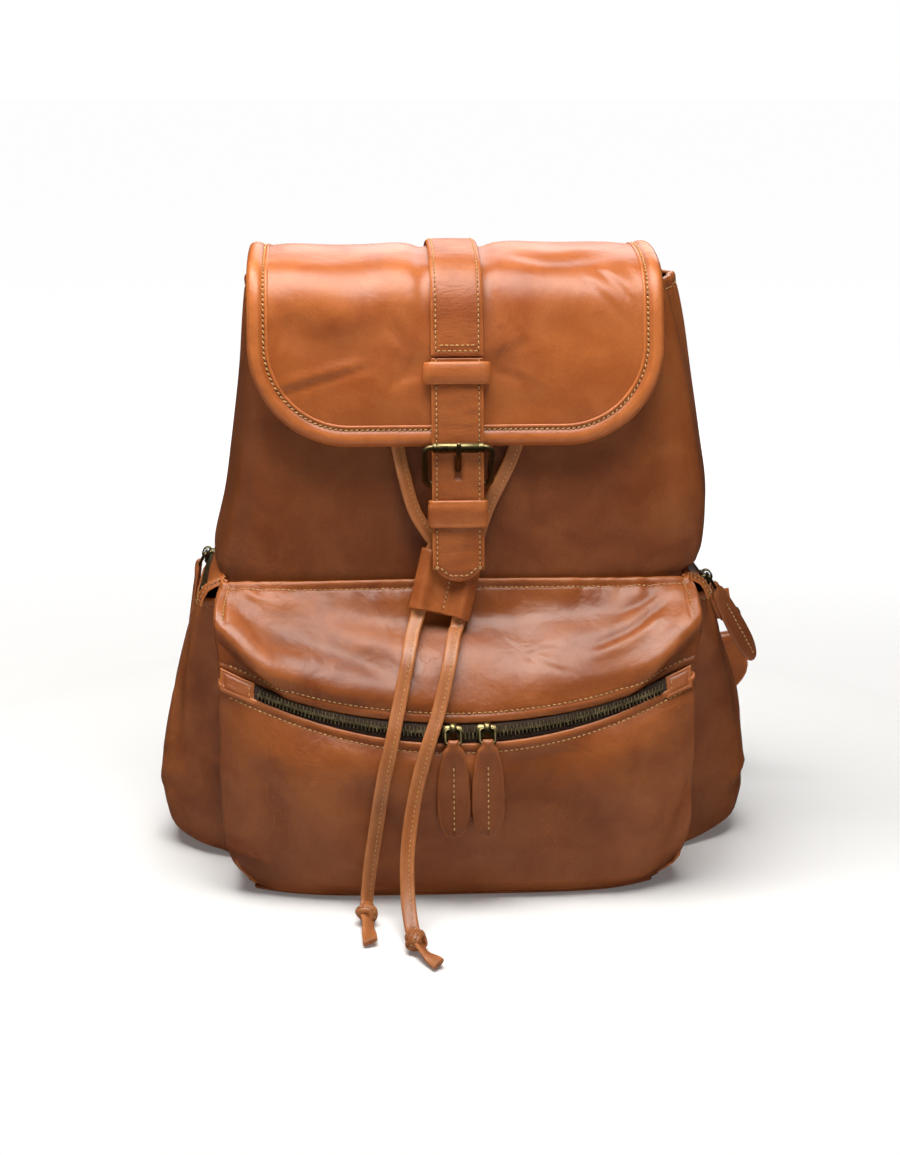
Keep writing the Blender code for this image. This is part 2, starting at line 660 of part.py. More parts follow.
def side_pocket_row(side, z, out):
    """Plan line of a side pocket from its front seam round to its back seam."""
    row = []
    for t in ticks(12):
        y = SIDE_POCKET_HALF_DEPTH * t
        wall = at(BODY_HALF_WIDTH, z) - SIDE_BULGE * (y / SIDE_PANEL_HALF_DEPTH) ** 2
        seam = max(wall, BASE_HALF_WIDTH + 1.5 if z < WALL_START else 0.0) + 2.9
        bow = 1.0 - abs(t) ** 3
        row.append((side * (seam + max(out - seam, 0.0) * bow), y, z))
    return row


def build_side_zip(name, side):
    out = Vector((side * SIDE_ZIP_OUT.x, 0.0, SIDE_ZIP_OUT.z))
    down = Vector((side * SIDE_ZIP_OUT.z, 0.0, -SIDE_ZIP_OUT.x))
    centre = Vector((side * SIDE_ZIP_X, 0.0, SIDE_ZIP_Z))
    rings = []
    for y in (-SIDE_ZIP_HALF_LENGTH, SIDE_ZIP_HALF_LENGTH):
        along = centre + Vector((0.0, y, 0.0))
        rings.append([along + down * below + out * height for below, height in zip_section()])
    skin("side_zip_" + name, rings, ZIP_METAL)
    start = centre + Vector((0.0, SIDE_SLIDER_Y[name], 0.0))
    build_slider("side_slider_" + name, start, out, down)
    bridge = start + down * BRIDGE_DOWN + out * (CHAIN_HEIGHT + GAP + BRIDGE_RISE)
    top = bridge + down * RING_DROP
    lean = SIDE_PULL_LEAN[name]
    hang = Vector((side * lean, 0.0, -math.sqrt(1 - lean**2)))
    build_pull("side_" + name, bridge, top, hang, Vector((0.0, side, 0.0)))


# Flap and closure ---------------------------------------------------------------------------------


def flap_run():
    """Flap's outer line as evenly spaced (y, z) samples, as vectors in the x = 0 plane."""
    return spaced(smooth([(0.0, y, z) for y, z in FLAP_LINE], 6), 9.0)


def flap_length():
    run = flap_run()
    return sum((b - a).length for a, b in zip(run, run[1:]))


def flap_point(x, travel, out):
    """Point on the flap: x across, travel along its line from the rear seam, out from its outer face."""
    run = flap_run()
    step = flap_length() / (len(run) - 1)
    span = min(int(travel / step), len(run) - 2)
    centre = run[span].lerp(run[span + 1], travel / step - span)
    ahead = (run[min(span + 2, len(run) - 1)] - run[max(span - 1, 0)]).normalized()
    normal = Vector((0.0, ahead.z, -ahead.y))
    if normal.dot(centre - Vector((0.0, 0.0, 300.0))) < 0:
        normal = -normal
    return centre + Vector((x, 0.0, 0.0)) + normal * out


def flap_half_width(travel):
    """Half width of the flap, with round corners at the hem."""
    past = travel - (flap_length() - FLAP_CORNER)
    if past <= 0:
        return FLAP_HALF_WIDTH
    return FLAP_HALF_WIDTH - FLAP_CORNER + math.sqrt(max(FLAP_CORNER**2 - past**2, 0.0))


def build_flap():
    length = flap_length()
    travels = [length * k / 34 for k in range(34)] + [length - 2.0, length]
    rows = [[flap_point(flap_half_width(s) * t, s, 0.0) for t in ticks(10)] for s in travels]
    sheet("flap_panel", rows, FLAP_THICKNESS, LEATHER, (0.0, 0.0, 300.0), FLAP_HINGE)
    edges = []
    for outline_x, outline_s, inset_x, inset_s in binding_stations(length):
        row = []
        for share in (0.0, 0.5, 1.0):
            x = outline_x + (inset_x - outline_x) * share
            s = outline_s + (inset_s - outline_s) * share
            row.append(flap_point(x, s, FLAP_LIFT + BINDING_THICKNESS))
        edges.append(row)
    sheet("flap_binding", edges, BINDING_THICKNESS, LEATHER, (0.0, 0.0, 300.0), FLAP_HINGE)
    build_closure(length)


def binding_stations(length):
    """Outline and inset points (x, travel) of the binding, from rear left round the hem to rear right."""
    straight = length - FLAP_CORNER
    inner = FLAP_CORNER - BINDING_WIDTH
    core = FLAP_HALF_WIDTH - FLAP_CORNER
    left = []
    for k in range(25):
        s = BINDING_START + (straight - BINDING_START) * k / 24
        left.append((-FLAP_HALF_WIDTH, s, -FLAP_HALF_WIDTH + BINDING_WIDTH, s))
    for k in range(1, 11):
        turn = math.pi / 2 * k / 10
        outer = (-core - FLAP_CORNER * math.cos(turn), straight + FLAP_CORNER * math.sin(turn))
        inset = (-core - inner * math.cos(turn), straight + inner * math.sin(turn))
        left.append((*outer, *inset))
    right = [(-a, b, -c, d) for a, b, c, d in reversed(left)]
    return left + right


def strap_point(z):
    """Centre of the closure strap at height z, and its direction of travel, downwards."""
    line = sorted((height, y) for y, height in STRAP_LINE)
    here = Vector((0.0, at(line, z), z))
    ahead = Vector((0.0, at(line, z - 4.0), z - 4.0)) - Vector((0.0, at(line, z + 4.0), z + 4.0))
    return here, ahead.normalized()


def build_closure(length):
    sideways = Vector((1.0, 0.0, 0.0))
    span = length - FLAP_STRAP_START - FLAP_STRAP_END
    top_travels = [FLAP_STRAP_START + span * k / 20 for k in range(21)]
    lift = FLAP_LIFT + STRAP_THICKNESS / 2
    stations = [(flap_point(0.0, s, lift), sideways, STRAP_WIDTH, STRAP_THICKNESS) for s in top_travels]
    ribbon("flap_strap", stations, LEATHER, FLAP_HINGE)

    run = spaced(smooth([(0.0, y, z) for y, z in STRAP_LINE], 6), 6.0)
    stations = [(point, sideways, STRAP_WIDTH, STRAP_THICKNESS) for point in run]
    tip, ahead = strap_point(STRAP_LINE[-1][1])
    half = STRAP_WIDTH / 2
    base = stations[:-2]
    for share in (0.0, 0.45, 0.75, 0.93):
        width = 2 * half * math.sqrt(1 - share**2)
        base.append((tip + ahead * (half * share - half), sideways, width, STRAP_THICKNESS))
    strap = ribbon("closure_strap", base, LEATHER, FLAP_HINGE)
    low, high = STRAP_HOLE_Z
    slot = []
    hole = STRAP_HOLE_HALF
    for y in (-60.0, -92.0):
        slot.append([(-hole, y, low), (hole, y, low), (hole, y, high), (-hole, y, high)])
    subtract(strap, slot)

    centre, ahead = strap_point(FLAP_KEEPER_Z)
    place = place_at(centre + Vector((0.0, -GAP, 0.0)), ahead, sideways)
    inner = STRAP_WIDTH / 2 + 1.0
    outer = inner + KEEPER_WALL
    foot = FLAP_KEEPER_FOOT
    under = -STRAP_THICKNESS / 2 - 0.5
    over = under - KEEPER_WALL
    bridge = [
        (-outer, foot), (-inner, foot), (-inner, under), (inner, under),
        (inner, foot), (outer, foot), (outer, over), (-outer, over),
    ]
    facing = place.to_3x3() @ Vector((0.0, 1.0, 0.0))
    turned_out = [(x, y if facing.y > 0 else -y) for x, y in bridge]
    half_tall = FLAP_KEEPER_HEIGHT / 2
    prism("flap_keeper", turned_out, -half_tall, half_tall, place, LEATHER, FLAP_HINGE)
    build_buckle(sideways)


def build_buckle(sideways):
    rise = ROLLER_CENTRE - HEEL_CENTRE
    middle = (ROLLER_CENTRE + HEEL_CENTRE) / 2
    up = rise.normalized()
    normal = sideways.cross(up).normalized()
    path = []
    for x, y in rounded_rectangle(BUCKLE_WIDTH / 2 - BUCKLE_WIRE, rise.length / 2, BUCKLE_CORNER, steps=3):
        path.append(middle + sideways * x + up * y)
    wire_loop("buckle_frame", path, normal, BUCKLE_WIRE, BRASS, FLAP_HINGE)
    bore = BUCKLE_WIRE + GAP
    ends = (-ROLLER_HALF_LENGTH, ROLLER_HALF_LENGTH)
    outline = [(bore, ends[0]), (ROLLER_RADIUS, ends[0]), (ROLLER_RADIUS, ends[1]), (bore, ends[1])]
    turned("buckle_roller", outline, place_at(ROLLER_CENTRE, sideways, up), BRASS, ROLLER_CENTRE)

    place = place_at(HEEL_CENTRE, sideways, Vector((0.0, 0.0, 1.0)))
    rim = bore + PRONG_EYE_WALL
    half = PRONG_EYE_HALF
    outline = [(bore, -half), (rim, -half), (rim, half), (bore, half)]
    prong = turned("buckle_prong", outline, place, BRASS, HEEL_CENTRE)
    arm = smooth([(0.0, y, z) for y, z in PRONG_LINE], 3)
    stations = [(point, sideways, PRONG_WIDTH, PRONG_THICKNESS) for point in arm]
    shank = ribbon("buckle_prong_shank", stations, BRASS, HEEL_CENTRE)
    join = prong.modifiers.new("join", "BOOLEAN")
    join.operation = "UNION"
    join.object = shank
    shank.hide_render = True
    shank.display_type = "WIRE"

    bend = []
    spread = bore + TAB_THICKNESS / 2
    for k in range(9):
        turn = math.radians(-70.0 + 255.0 * k / 8)
        bend.append(HEEL_CENTRE + Vector((0.0, -math.cos(turn) * spread, math.sin(turn) * spread)))
    front_run = [Vector((0.0, y, z)) for y, z in reversed(TAB_LINE)]
    back_run = [Vector((0.0, y, z)) for y, z in TAB_BACK_LINE]
    stations = [(p, sideways, STRAP_WIDTH - 1.0, TAB_THICKNESS) for p in front_run + bend + back_run]
    tab = ribbon("buckle_tab", stations, LEATHER, FLAP_HINGE)
    prong_slot = []
    low, high = PRONG_SLOT_Z
    for x in (-PRONG_SLOT_HALF, PRONG_SLOT_HALF):
        prong_slot.append([(x, -80.0, low), (x, -63.0, low), (x, -63.0, high), (x, -80.0, high)])
    subtract(tab, prong_slot)

    tab_at, tab_ahead = strap_point(TAB_KEEPER_Z)
    place = place_at(tab_at + Vector((0.0, 1.4, 0.0)), tab_ahead, sideways)
    inner = (STRAP_WIDTH + 2.0, TAB_KEEPER_DEPTH)
    band("tab_keeper", inner, KEEPER_WALL, TAB_KEEPER_HEIGHT, place, LEATHER, tuple(tab_at))
    build_snap()


def build_snap():
    """Magnetic snap under the flap: a disc inside the flap and its plate on the front panel."""
    flap_inner = at(sorted((z, y) for y, z in FLAP_LINE[6:]), SNAP_Z) + FLAP_THICKNESS
    panel = at(FRONT_LINE, SNAP_Z)
    middle = (flap_inner + panel) / 2
    backwards = Vector((0.0, 1.0, 0.0))
    across = Vector((1.0, 0.0, 0.0))
    for name, start, end, pivot in (
        ("snap_magnet", flap_inner + 1.6, middle - GAP, FLAP_HINGE),
        ("snap_plate", middle + GAP, panel - 1.6, (0.0, 0.0, 0.0)),
    ):
        place = place_at(Vector((0.0, start, SNAP_Z)), backwards, across)
        disc(name, SNAP_RADIUS, end - start, place, BRASS, pivot)


# Drawcord -----------------------------------------------------------------------------------------


def eyelet_place(side):
    """Placement of one mouth eyelet: its Z axis points out of the front panel."""
    t = side * EYELET_X / (at(BODY_HALF_WIDTH, EYELET_Z) - SIDE_BULGE)
    here = panel_point(FRONT_LINE, -1, t, EYELET_Z)
    up = panel_point(FRONT_LINE, -1, t, EYELET_Z + 5.0) - here
    across = panel_point(FRONT_LINE, -1, t + 0.02, EYELET_Z) - here
    out = up.cross(across).normalized()
    if out.y > 0:
        out = -out
    return place_at(here - out * (PANEL_THICKNESS / 2), out, across)


def toggle_place():
    """Placement of the toggle: X across, Y down along the cords, Z out of its face."""
    lean = math.radians(TOGGLE_LEAN)
    down = Vector((0.0, -math.sin(lean), -math.cos(lean)))
    out = Vector((0.0, -math.cos(lean), math.sin(lean)))
    across = Vector((1.0, 0.0, 0.0))
    turn = Matrix.Rotation(math.radians(TOGGLE_TURN), 4, out)
    place = Matrix((-across, down, out)).transposed().to_4x4()
    place = turn @ place
    place.translation = TOGGLE_CENTRE
    return place


def build_drawcord():
    front = bpy.data.objects["front_panel"]
    hold = PANEL_THICKNESS / 2 + GAP
    rim = EYELET_BORE + EYELET_RIM
    neck = EYELET_BORE + 0.8
    far = hold + EYELET_FLANGE
    outline = [
        (EYELET_BORE, -far), (rim, -far), (rim, -hold), (neck, -hold),
        (neck, hold), (rim, hold), (rim, far), (EYELET_BORE, far),
    ]
    for name, side in SIDES:
        place = eyelet_place(side)
        turned("mouth_eyelet_" + name, outline, place, BRASS)
        drill(front, place, EYELET_BORE + 1.3, 8.0)
    points = spaced(smooth(mouth_route(), 8), 14.0)
    tube("drawcord", points, [CORD_RADIUS] * len(points), CORD_LEATHER)
    build_toggle()
    free_ends = (
        ("cord_left", 1, LEFT_CORD_ROUTE, LEFT_KNOT_ROUTE, "knot_left", -1),
        ("cord_right", -1, RIGHT_CORD_ROUTE, RIGHT_KNOT_ROUTE, "knot_right", 1),
    )
    for name, channel, hang, knot, knot_name, side in free_ends:
        start = eyelet_place(side) @ Vector((0.0, 0.0, CORD_START))
        build_free_cord(name, start, channel, hang, side)
        build_knot(knot_name, knot)


def mouth_route():
    """Drawcord inside the mouth, from the left eyelet round the sides and back to the right one."""
    half = [(x, y, EYELET_Z) for x, y in MOUTH_ROUTE]
    start = [tuple(eyelet_place(-1) @ Vector((0.0, 0.0, h))) for h in (3.6, 0.0, -6.5)]
    left = start + half
    return left + [(-x, y, height) for x, y, height in reversed(left[:-1])]


def build_toggle():
    place = toggle_place()
    outline = rounded_rectangle(TOGGLE_WIDTH / 2, TOGGLE_HEIGHT / 2, 3.0, steps=2)
    half = TOGGLE_THICKNESS / 2
    toggle = prism("cord_toggle", outline, -half, half, place, LEATHER, TOGGLE_CENTRE)
    for side in (-1, 1):
        centre = Matrix.Translation((side * TOGGLE_CHANNEL, 0.0, 0.0))
        drill(toggle, place @ centre @ Matrix.Rotation(math.pi / 2, 4, "X"), CHANNEL_RADIUS, TOGGLE_HEIGHT)


def build_free_cord(name, start, channel, hang, side):
    """One free run of the cord: eyelet, under the flap, through the toggle and down to its knot."""
    place = toggle_place()
    x = channel * TOGGLE_CHANNEL
    through = [place @ Vector((x, y, 0.0)) for y in (-24.0, -19.0, -6.0, 6.0, 19.0, 24.0)]
    under_flap = [(side * out, y, z) for out, y, z in UNDER_FLAP_ROUTE]
    route = [start, *under_flap, (side * 22.5 - 4.0, -66.3, 230.0), *through, *hang]
    points = spaced(smooth(route, 8), 6.5)
    tube(name, points, [CORD_RADIUS] * len(points), CORD_LEATHER)


def build_knot(name, route):
    """Overhand knot and the short tail past it."""
    points = spaced(smooth(route, 8), 2.4)
    centre = Vector(route[1])
    radii = []
    for point in points:
        away = (point - centre).length / KNOT_RADIUS
        swell = math.sqrt(max(1.0 - away**2, 0.0)) * KNOT_RADIUS
        radii.append(max(swell, CORD_RADIUS))
    tube(name, points, radii, CORD_LEATHER, sides=2)


# Back ---------------------------------------------------------------------------------------------


def build_back():
    rows = []
    for z in YOKE_LEVELS:
        y = at(BACK_LINE, z) + YOKE_RISE
        rows.append([Vector((YOKE_HALF_WIDTH * t, y - YOKE_RISE * t * t, z)) for t in ticks(8)])
    sheet("strap_yoke", rows, YOKE_THICKNESS, LEATHER, (0.0, 0.0, 310.0))
    build_haul_loop()
    for name, side in SIDES:
        build_shoulder_strap(name, side)


def build_haul_loop():
    backwards = Vector((0.0, 1.0, 0.0))
    stations = [(point, backwards, HAUL_WIDTH, STRAP_THICKNESS) for point in smooth(HAUL_ROUTE, 4)]
    ribbon("haul_loop", stations, LEATHER, HAUL_PIVOT)


def adjuster_frame(name):
    """Centre, width direction, downward direction and outward normal of one strap adjuster."""
    side = 1 if name == "right" else -1
    centre = Vector((STRAP_REACH[name], ADJUSTER_Y, ADJUSTER_Z))
    down = Vector((side * 0.18, -0.08, -1.0)).normalized()
    across = (Vector((1.0, 0.0, 0.0)) - down * down.x).normalized()
    return centre, across, down, across.cross(down).normalized()


def build_shoulder_strap(name, side):
    centre, across, down, out = adjuster_frame(name)
    if out.y < 0:
        out = -out
    reach = abs(STRAP_REACH[name])
    wide = 0.8 * side
    turn = Vector((0.85, 0.0, wide * 0.6))
    bar = centre - down * ADJUSTER_HALF_HEIGHT
    loop = ADJUSTER_WIRE + GAP + 1.5
    route = [
        (side * 62.0, 63.5, 328.0, Vector((1.0, 0.0, 0.0)), 46.0, 7.0),
        (side * 64.0, 66.5, 314.0, Vector((1.0, 0.0, 0.05 * side)), 46.0, 8.0),
        (side * 78.0, 80.0, 280.0, Vector((0.95, 0.0, 0.3 * side)), 46.0, 9.0),
        (side * (reach * 0.62), 91.0, 232.0, turn, 44.0, 9.0),
        (side * (reach * 0.86), 94.0, 180.0, turn, 38.0, 8.0),
        (side * (reach * 0.96), 90.0, 146.0, Vector((0.95, 0.0, 0.3 * side)), 30.0, 4.0),
    ]
    stations = lerp_stations(route, 4)
    for height, depth in ((-6.0, 3.9), (-2.0, 3.9)):
        point = bar + down * height + out * depth
        stations.append((point, across, WEB_WIDTH, STRAP_THICKNESS))
    for k in range(1, 7):
        angle = math.radians(180.0 * k / 6)
        point = bar + (out * math.cos(angle) + down * math.sin(angle)) * loop
        stations.append((point, across, WEB_WIDTH, STRAP_THICKNESS))
    for height in (-4.0, -10.0, -16.0):
        stations.append((bar + down * height - out * loop, across, WEB_WIDTH, STRAP_THICKNESS))
    ribbon("shoulder_strap_" + name, stations, LEATHER)

    path = []
    for x, y in rounded_rectangle(ADJUSTER_HALF_WIDTH, ADJUSTER_HALF_HEIGHT, 3.0, steps=2):
        path.append(centre + across * x + down * y)
    wire_loop("strap_adjuster_" + name, path, out, ADJUSTER_WIRE, BRASS, tuple(centre))

    bar = centre + down * ADJUSTER_HALF_HEIGHT
    corner = Vector((side * 126.0, 72.6, 20.0))
    route = [corner, corner + Vector((side * 3.0, 1.4, 14.0)), bar - out * loop + down * 24.0]
    lower = []
    for point in smooth(route, 5):
        lower.append((point, across, WEB_WIDTH, STRAP_THICKNESS))
    lower.append((bar - out * loop + down * 8.0, across, WEB_WIDTH, STRAP_THICKNESS))
    for k in range(7):
        angle = math.radians(180.0 * k / 6)
        point = bar - (out * math.cos(angle) + down * math.sin(angle)) * loop
        lower.append((point, across, WEB_WIDTH, STRAP_THICKNESS))
    for height in (7.0, 14.0, 22.0):
        lower.append((bar + down * height + out * loop, across, WEB_WIDTH, STRAP_THICKNESS))
    ribbon("lower_strap_" + name, lower, LEATHER)


def main():
    for old in list(bpy.data.objects):
        bpy.data.objects.remove(old, do_unlink=True)
    build_body()
    build_front_pocket()
    build_side_pockets()
    build_flap()
    build_drawcord()
    build_back()


main()
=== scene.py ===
"""The looks of the leather backpack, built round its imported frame.

Lengths are millimetres, turned into metres where a mesh is made. The front faces -Y, +X is to the right as
seen from the front, and the bag stands on z = 0. Grids of points are numpy arrays (rows, columns, xyz).
"""

import json
import math

import bmesh
import bpy
import numpy as np
from mathutils import Matrix, Vector

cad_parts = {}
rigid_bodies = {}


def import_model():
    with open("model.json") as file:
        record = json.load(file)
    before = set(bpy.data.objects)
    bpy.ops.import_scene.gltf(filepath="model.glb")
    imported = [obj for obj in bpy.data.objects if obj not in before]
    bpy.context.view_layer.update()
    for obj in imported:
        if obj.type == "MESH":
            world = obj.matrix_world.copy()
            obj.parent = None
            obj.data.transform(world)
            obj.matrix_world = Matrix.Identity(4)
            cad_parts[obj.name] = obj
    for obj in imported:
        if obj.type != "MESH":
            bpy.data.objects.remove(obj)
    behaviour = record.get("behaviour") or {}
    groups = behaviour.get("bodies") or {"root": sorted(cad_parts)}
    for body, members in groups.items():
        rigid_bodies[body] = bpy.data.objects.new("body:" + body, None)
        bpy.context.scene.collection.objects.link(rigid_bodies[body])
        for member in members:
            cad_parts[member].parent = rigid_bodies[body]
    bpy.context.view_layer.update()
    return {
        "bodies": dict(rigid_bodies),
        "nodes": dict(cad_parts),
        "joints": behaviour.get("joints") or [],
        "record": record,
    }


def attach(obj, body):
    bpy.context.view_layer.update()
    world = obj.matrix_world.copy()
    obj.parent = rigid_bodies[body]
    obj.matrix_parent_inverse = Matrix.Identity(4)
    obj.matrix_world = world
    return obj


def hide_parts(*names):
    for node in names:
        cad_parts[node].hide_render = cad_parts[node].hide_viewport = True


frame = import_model()

MM = 0.001
SIDES = (("left", -1), ("right", 1))
NODES = frame["nodes"]
RIGHT = np.array([1.0, 0.0, 0.0])
UP = np.array([0.0, 0.0, 1.0])

# Camera: the viewing angle, in metres.
CAMERA_AT = (-0.0675, -1.2712, 0.4874)
CAMERA_LOOKS_AT = (-0.004, -0.06, 0.185)
CAMERA_LENS = 62.84

# Light and floor. The floor's own glow grows from FLOOR_GLOW to FLOOR_GLOW_FAR over FLOOR_GLOW_SPAN metres.
WORLD_LIGHT = 0.02
FLOOR_GLOW = 0.11
FLOOR_GLOW_FAR = 0.97
FLOOR_GLOW_SPAN = (0.45, 1.5)
FLOOR_RADIUS = 40.0
FLOOR_SIDES = 64

# Main bag, rows (z, value), as in the CAD model.
BODY_HALF_WIDTH = [
    (4.4, 143.0), (20.0, 148.0), (60.0, 150.0), (120.0, 150.0), (184.0, 149.5), (228.0, 147.5),
    (266.0, 144.0), (300.0, 141.0), (330.0, 138.5), (358.0, 135.0), (366.0, 133.5),
]
FRONT_LINE = [
    (4.4, -68.0), (20.0, -69.5), (60.0, -70.0), (120.0, -68.0), (184.0, -64.0), (228.0, -62.0),
    (266.0, -57.0), (300.0, -53.0), (330.0, -48.5), (358.0, -44.0), (366.0, -42.5),
]
BACK_LINE = [
    (4.4, 67.0), (20.0, 69.0), (60.0, 70.0), (120.0, 69.0), (184.0, 66.0), (228.0, 64.0),
    (266.0, 61.0), (300.0, 58.0), (330.0, 55.0), (358.0, 52.0), (366.0, 51.0),
]
BODY_TOP = 366.0
CORNER_POWER = 12.0
BODY_BULGE = 4.0

# Front pocket rows, as in the CAD model: (half width, y centre, y edge, z centre, z edge).
POCKET_UPPER_ROWS = [
    (143.0, -67.5, -64.5, 186.0, 184.0), (146.0, -80.0, -78.0, 162.0, 177.0),
    (147.0, -98.0, -90.0, 147.5, 169.0), (147.0, -112.0, -99.0, 135.0, 161.0),
    (146.5, -120.5, -104.0, 123.0, 153.0),
]
POCKET_LOWER_ROWS = [
    (147.0, -136.0, -115.0, 80.0, 100.0), (146.0, -137.0, -115.0, 50.0, 60.0),
    (144.0, -133.0, -113.0, 22.0, 25.0), (140.0, -127.0, -110.0, 3.0, 3.0),
]
POCKET_EDGE_POWER = 4
ZIP_CENTRE = np.array([0.0, 24.0, 375.0])
ZIP_RADIUS = 309.0
ZIP_DOWN = np.array([0.0, -0.492, -0.871])
ZIP_OUT = np.array([0.0, -0.871, 0.492])
ZIP_HALF_LENGTH = 125.0
CHAIN_HEIGHT = 2.4
SLIDER_X = {"left": -6.0, "right": 14.5}
ZIP_END_LENGTH = {"left": 20.0, "right": 15.5}

# Side pockets and their zips.
SIDE_POCKET_LINES = {
    "left": [
        (1.5, 156.0), (8.0, 180.0), (24.0, 187.0), (52.0, 189.0), (100.0, 182.0), (140.0, 171.5),
        (164.0, 164.0), (171.5, 161.3),
    ],
    "right": [
        (1.5, 162.0), (8.0, 186.0), (24.0, 193.0), (52.0, 194.5), (100.0, 187.0), (140.0, 172.5),
        (164.0, 163.5), (171.5, 161.3),
    ],
}
SIDE_POCKET_HALF_DEPTH = 55.0
SIDE_ZIP_AT = (157.0, 176.0)
SIDE_ZIP_OUT = (0.87, 0.49)
SIDE_ZIP_HALF_LENGTH = 47.0
SIDE_SLIDER_Y = {"left": 42.0, "right": -38.0}
SIDE_PULL_LEAN = {"left": 0.16, "right": 0.50}
SIDE_PULL_TWIST = {"left": 0.0, "right": 40.0}
RING_DROP = 9.6

# Flap, closure strap and buckle.
FLAP_LINE = [
    (57.8, 338.0), (58.8, 352.0), (57.5, 364.0), (50.0, 374.5), (30.0, 381.5), (5.0, 383.0), (-22.0, 379.5),
    (-42.0, 372.5), (-54.5, 358.0), (-61.0, 335.0), (-65.5, 312.0), (-68.5, 290.0), (-70.0, 270.5),
]
FLAP_HALF_WIDTH = 125.0
FLAP_CORNER = 60.0
STRAP_LINE = [
    (-66.2, 322.0), (-71.3, 296.0), (-74.2, 272.0), (-76.6, 257.0), (-79.8, 228.0), (-83.0, 205.0),
    (-86.0, 189.0),
]
ROLLER_CENTRE = np.array([0.0, -79.7, 270.0])
HEEL_CENTRE = np.array([0.0, -70.8, 246.0])
BUCKLE_WIDTH = 44.0

# Toggle and the two free cords, with the CAD model's own routes.
TOGGLE_CENTRE = np.array([-7.8, -79.5, 185.5])
TOGGLE_LEAN = 20.0
TOGGLE_TURN = -13.5
TOGGLE_CHANNEL = 12.5
CORD_WIDTH = 8.6
CORD_THICKNESS = 3.2
EYELET_STARTS = {-1: (-41.7, -53.0, 347.3), 1: (41.7, -53.0, 347.3)}
UNDER_FLAP_ROUTE = [(41.5, -55.4, 332.0), (40.0, -58.2, 300.0), (35.5, -61.6, 266.0)]
LEFT_CORD_ROUTE = [
    (-28.5, -95.0, 159.5), (-32.0, -111.5, 147.0), (-38.0, -126.5, 122.0), (-42.5, -137.5, 104.0),
    (-48.0, -142.5, 80.0), (-52.0, -143.5, 55.0), (-56.0, -146.0, 30.0), (-58.0, -150.0, 14.0),
]
RIGHT_CORD_ROUTE = [
    (-3.5, -96.0, 157.5), (-7.0, -112.5, 145.0), (-14.0, -127.5, 120.0), (-21.0, -138.5, 102.0),
    (-27.5, -144.0, 80.0), (-32.0, -150.0, 58.0), (-34.5, -160.5, 38.0), (-34.5, -175.0, 20.0),
    (-33.0, -190.0, 9.5),
]
LEFT_KNOT_ROUTE = [(-58.6, -154.5, 8.0), (-58.8, -162.0, 7.6), (-58.0, -172.0, 4.8), (-57.0, -196.0, 3.6)]
RIGHT_KNOT_ROUTE = [(-32.0, -194.4, 8.0), (-31.0, -202.0, 7.6), (-27.5, -212.0, 4.8), (-19.0, -228.0, 3.6)]


# Points and curves --------------------------------------------------------------------------------


def unit(rows):
    """Rows scaled to length 1."""
    rows = np.asarray(rows, float)
    return rows / np.maximum(np.linalg.norm(rows, axis=-1, keepdims=True), 1e-9)


def spline(points, per_span=12):
    """Catmull-Rom points through a route."""
    rows = np.asarray(points, float)
    rows = np.vstack([2 * rows[0] - rows[1], rows, 2 * rows[-1] - rows[-2]])
    s = (np.arange(per_span) / per_span)[:, None]
    parts = []
    for a, b, c, d in zip(rows, rows[1:], rows[2:], rows[3:]):
        square = 2 * a - 5 * b + 4 * c - d
        cube = 3 * b - a - 3 * c + d
        parts.append((2 * b + (c - a) * s + square * s**2 + cube * s**3) / 2)
    return np.vstack([*parts, rows[-2]])


def travel(points):
    """Distance of each point along its run."""
    steps = np.linalg.norm(np.diff(points, axis=0), axis=1)
    return np.concatenate([[0.0], np.cumsum(steps)])


def distance_down(grid):
    """How far each point of a grid is below its first row, along the grid."""
    return np.linalg.norm(np.diff(grid, axis=0, prepend=grid[:1]), axis=-1).cumsum(0)


def at_travel(points, wanted):
    """Points of a run at the wanted distances along it."""
    run = travel(points)
    return np.stack([np.interp(wanted, run, points[:, k]) for k in range(points.shape[1])], axis=-1)


def evenly(points, gap):
    """The same run, resampled about gap apart."""
    length = travel(points)[-1]
    return at_travel(points, np.linspace(0.0, length, max(2, round(length / gap)) + 1))


def closed_evenly(points, gap):
    """A closed loop resampled about gap apart, without repeating its first point."""
    return evenly(np.vstack([points, points[:1]]), gap)[:-1]


def line_at(line, heights):
    """Smooth value of a (height, value) line."""
    rows = spline(line, 8)
    return np.interp(heights, rows[:, 0], rows[:, 1])


def ramp(values, low, high):
    """0 below low, 1 above high, and smooth between."""
    t = np.clip((values - low) / (high - low), 0.0, 1.0)
    return t * t * (3 - 2 * t)


def hump(values, centre, width):
    """Bell of height 1."""
    return np.exp(-(((values - centre) / width) ** 2))


def graded(length, coarse, fine, margin):
    """Places from 0 to length, fine apart within margin of both ends and coarse apart between."""
    ends = np.arange(0.0, margin, fine)
    count = max(2, round((length - 2 * margin) / coarse))
    middle = np.linspace(margin, length - margin, count + 1)
    return np.concatenate([ends, middle, length - ends[::-1]])


def soft_noise(points, size, seed, waves=26):
    """Smooth random height of about unit strength, whose bumps are about size across."""
    rng = np.random.default_rng(seed)
    ways = unit(rng.normal(size=(waves, points.shape[-1])))
    rates = 2 * np.pi / (size * rng.uniform(1.1, 2.8, waves))
    phases = rng.uniform(0, 2 * np.pi, waves)
    return np.sin(points @ (ways * rates[:, None]).T + phases).sum(-1) * math.sqrt(2 / waves)


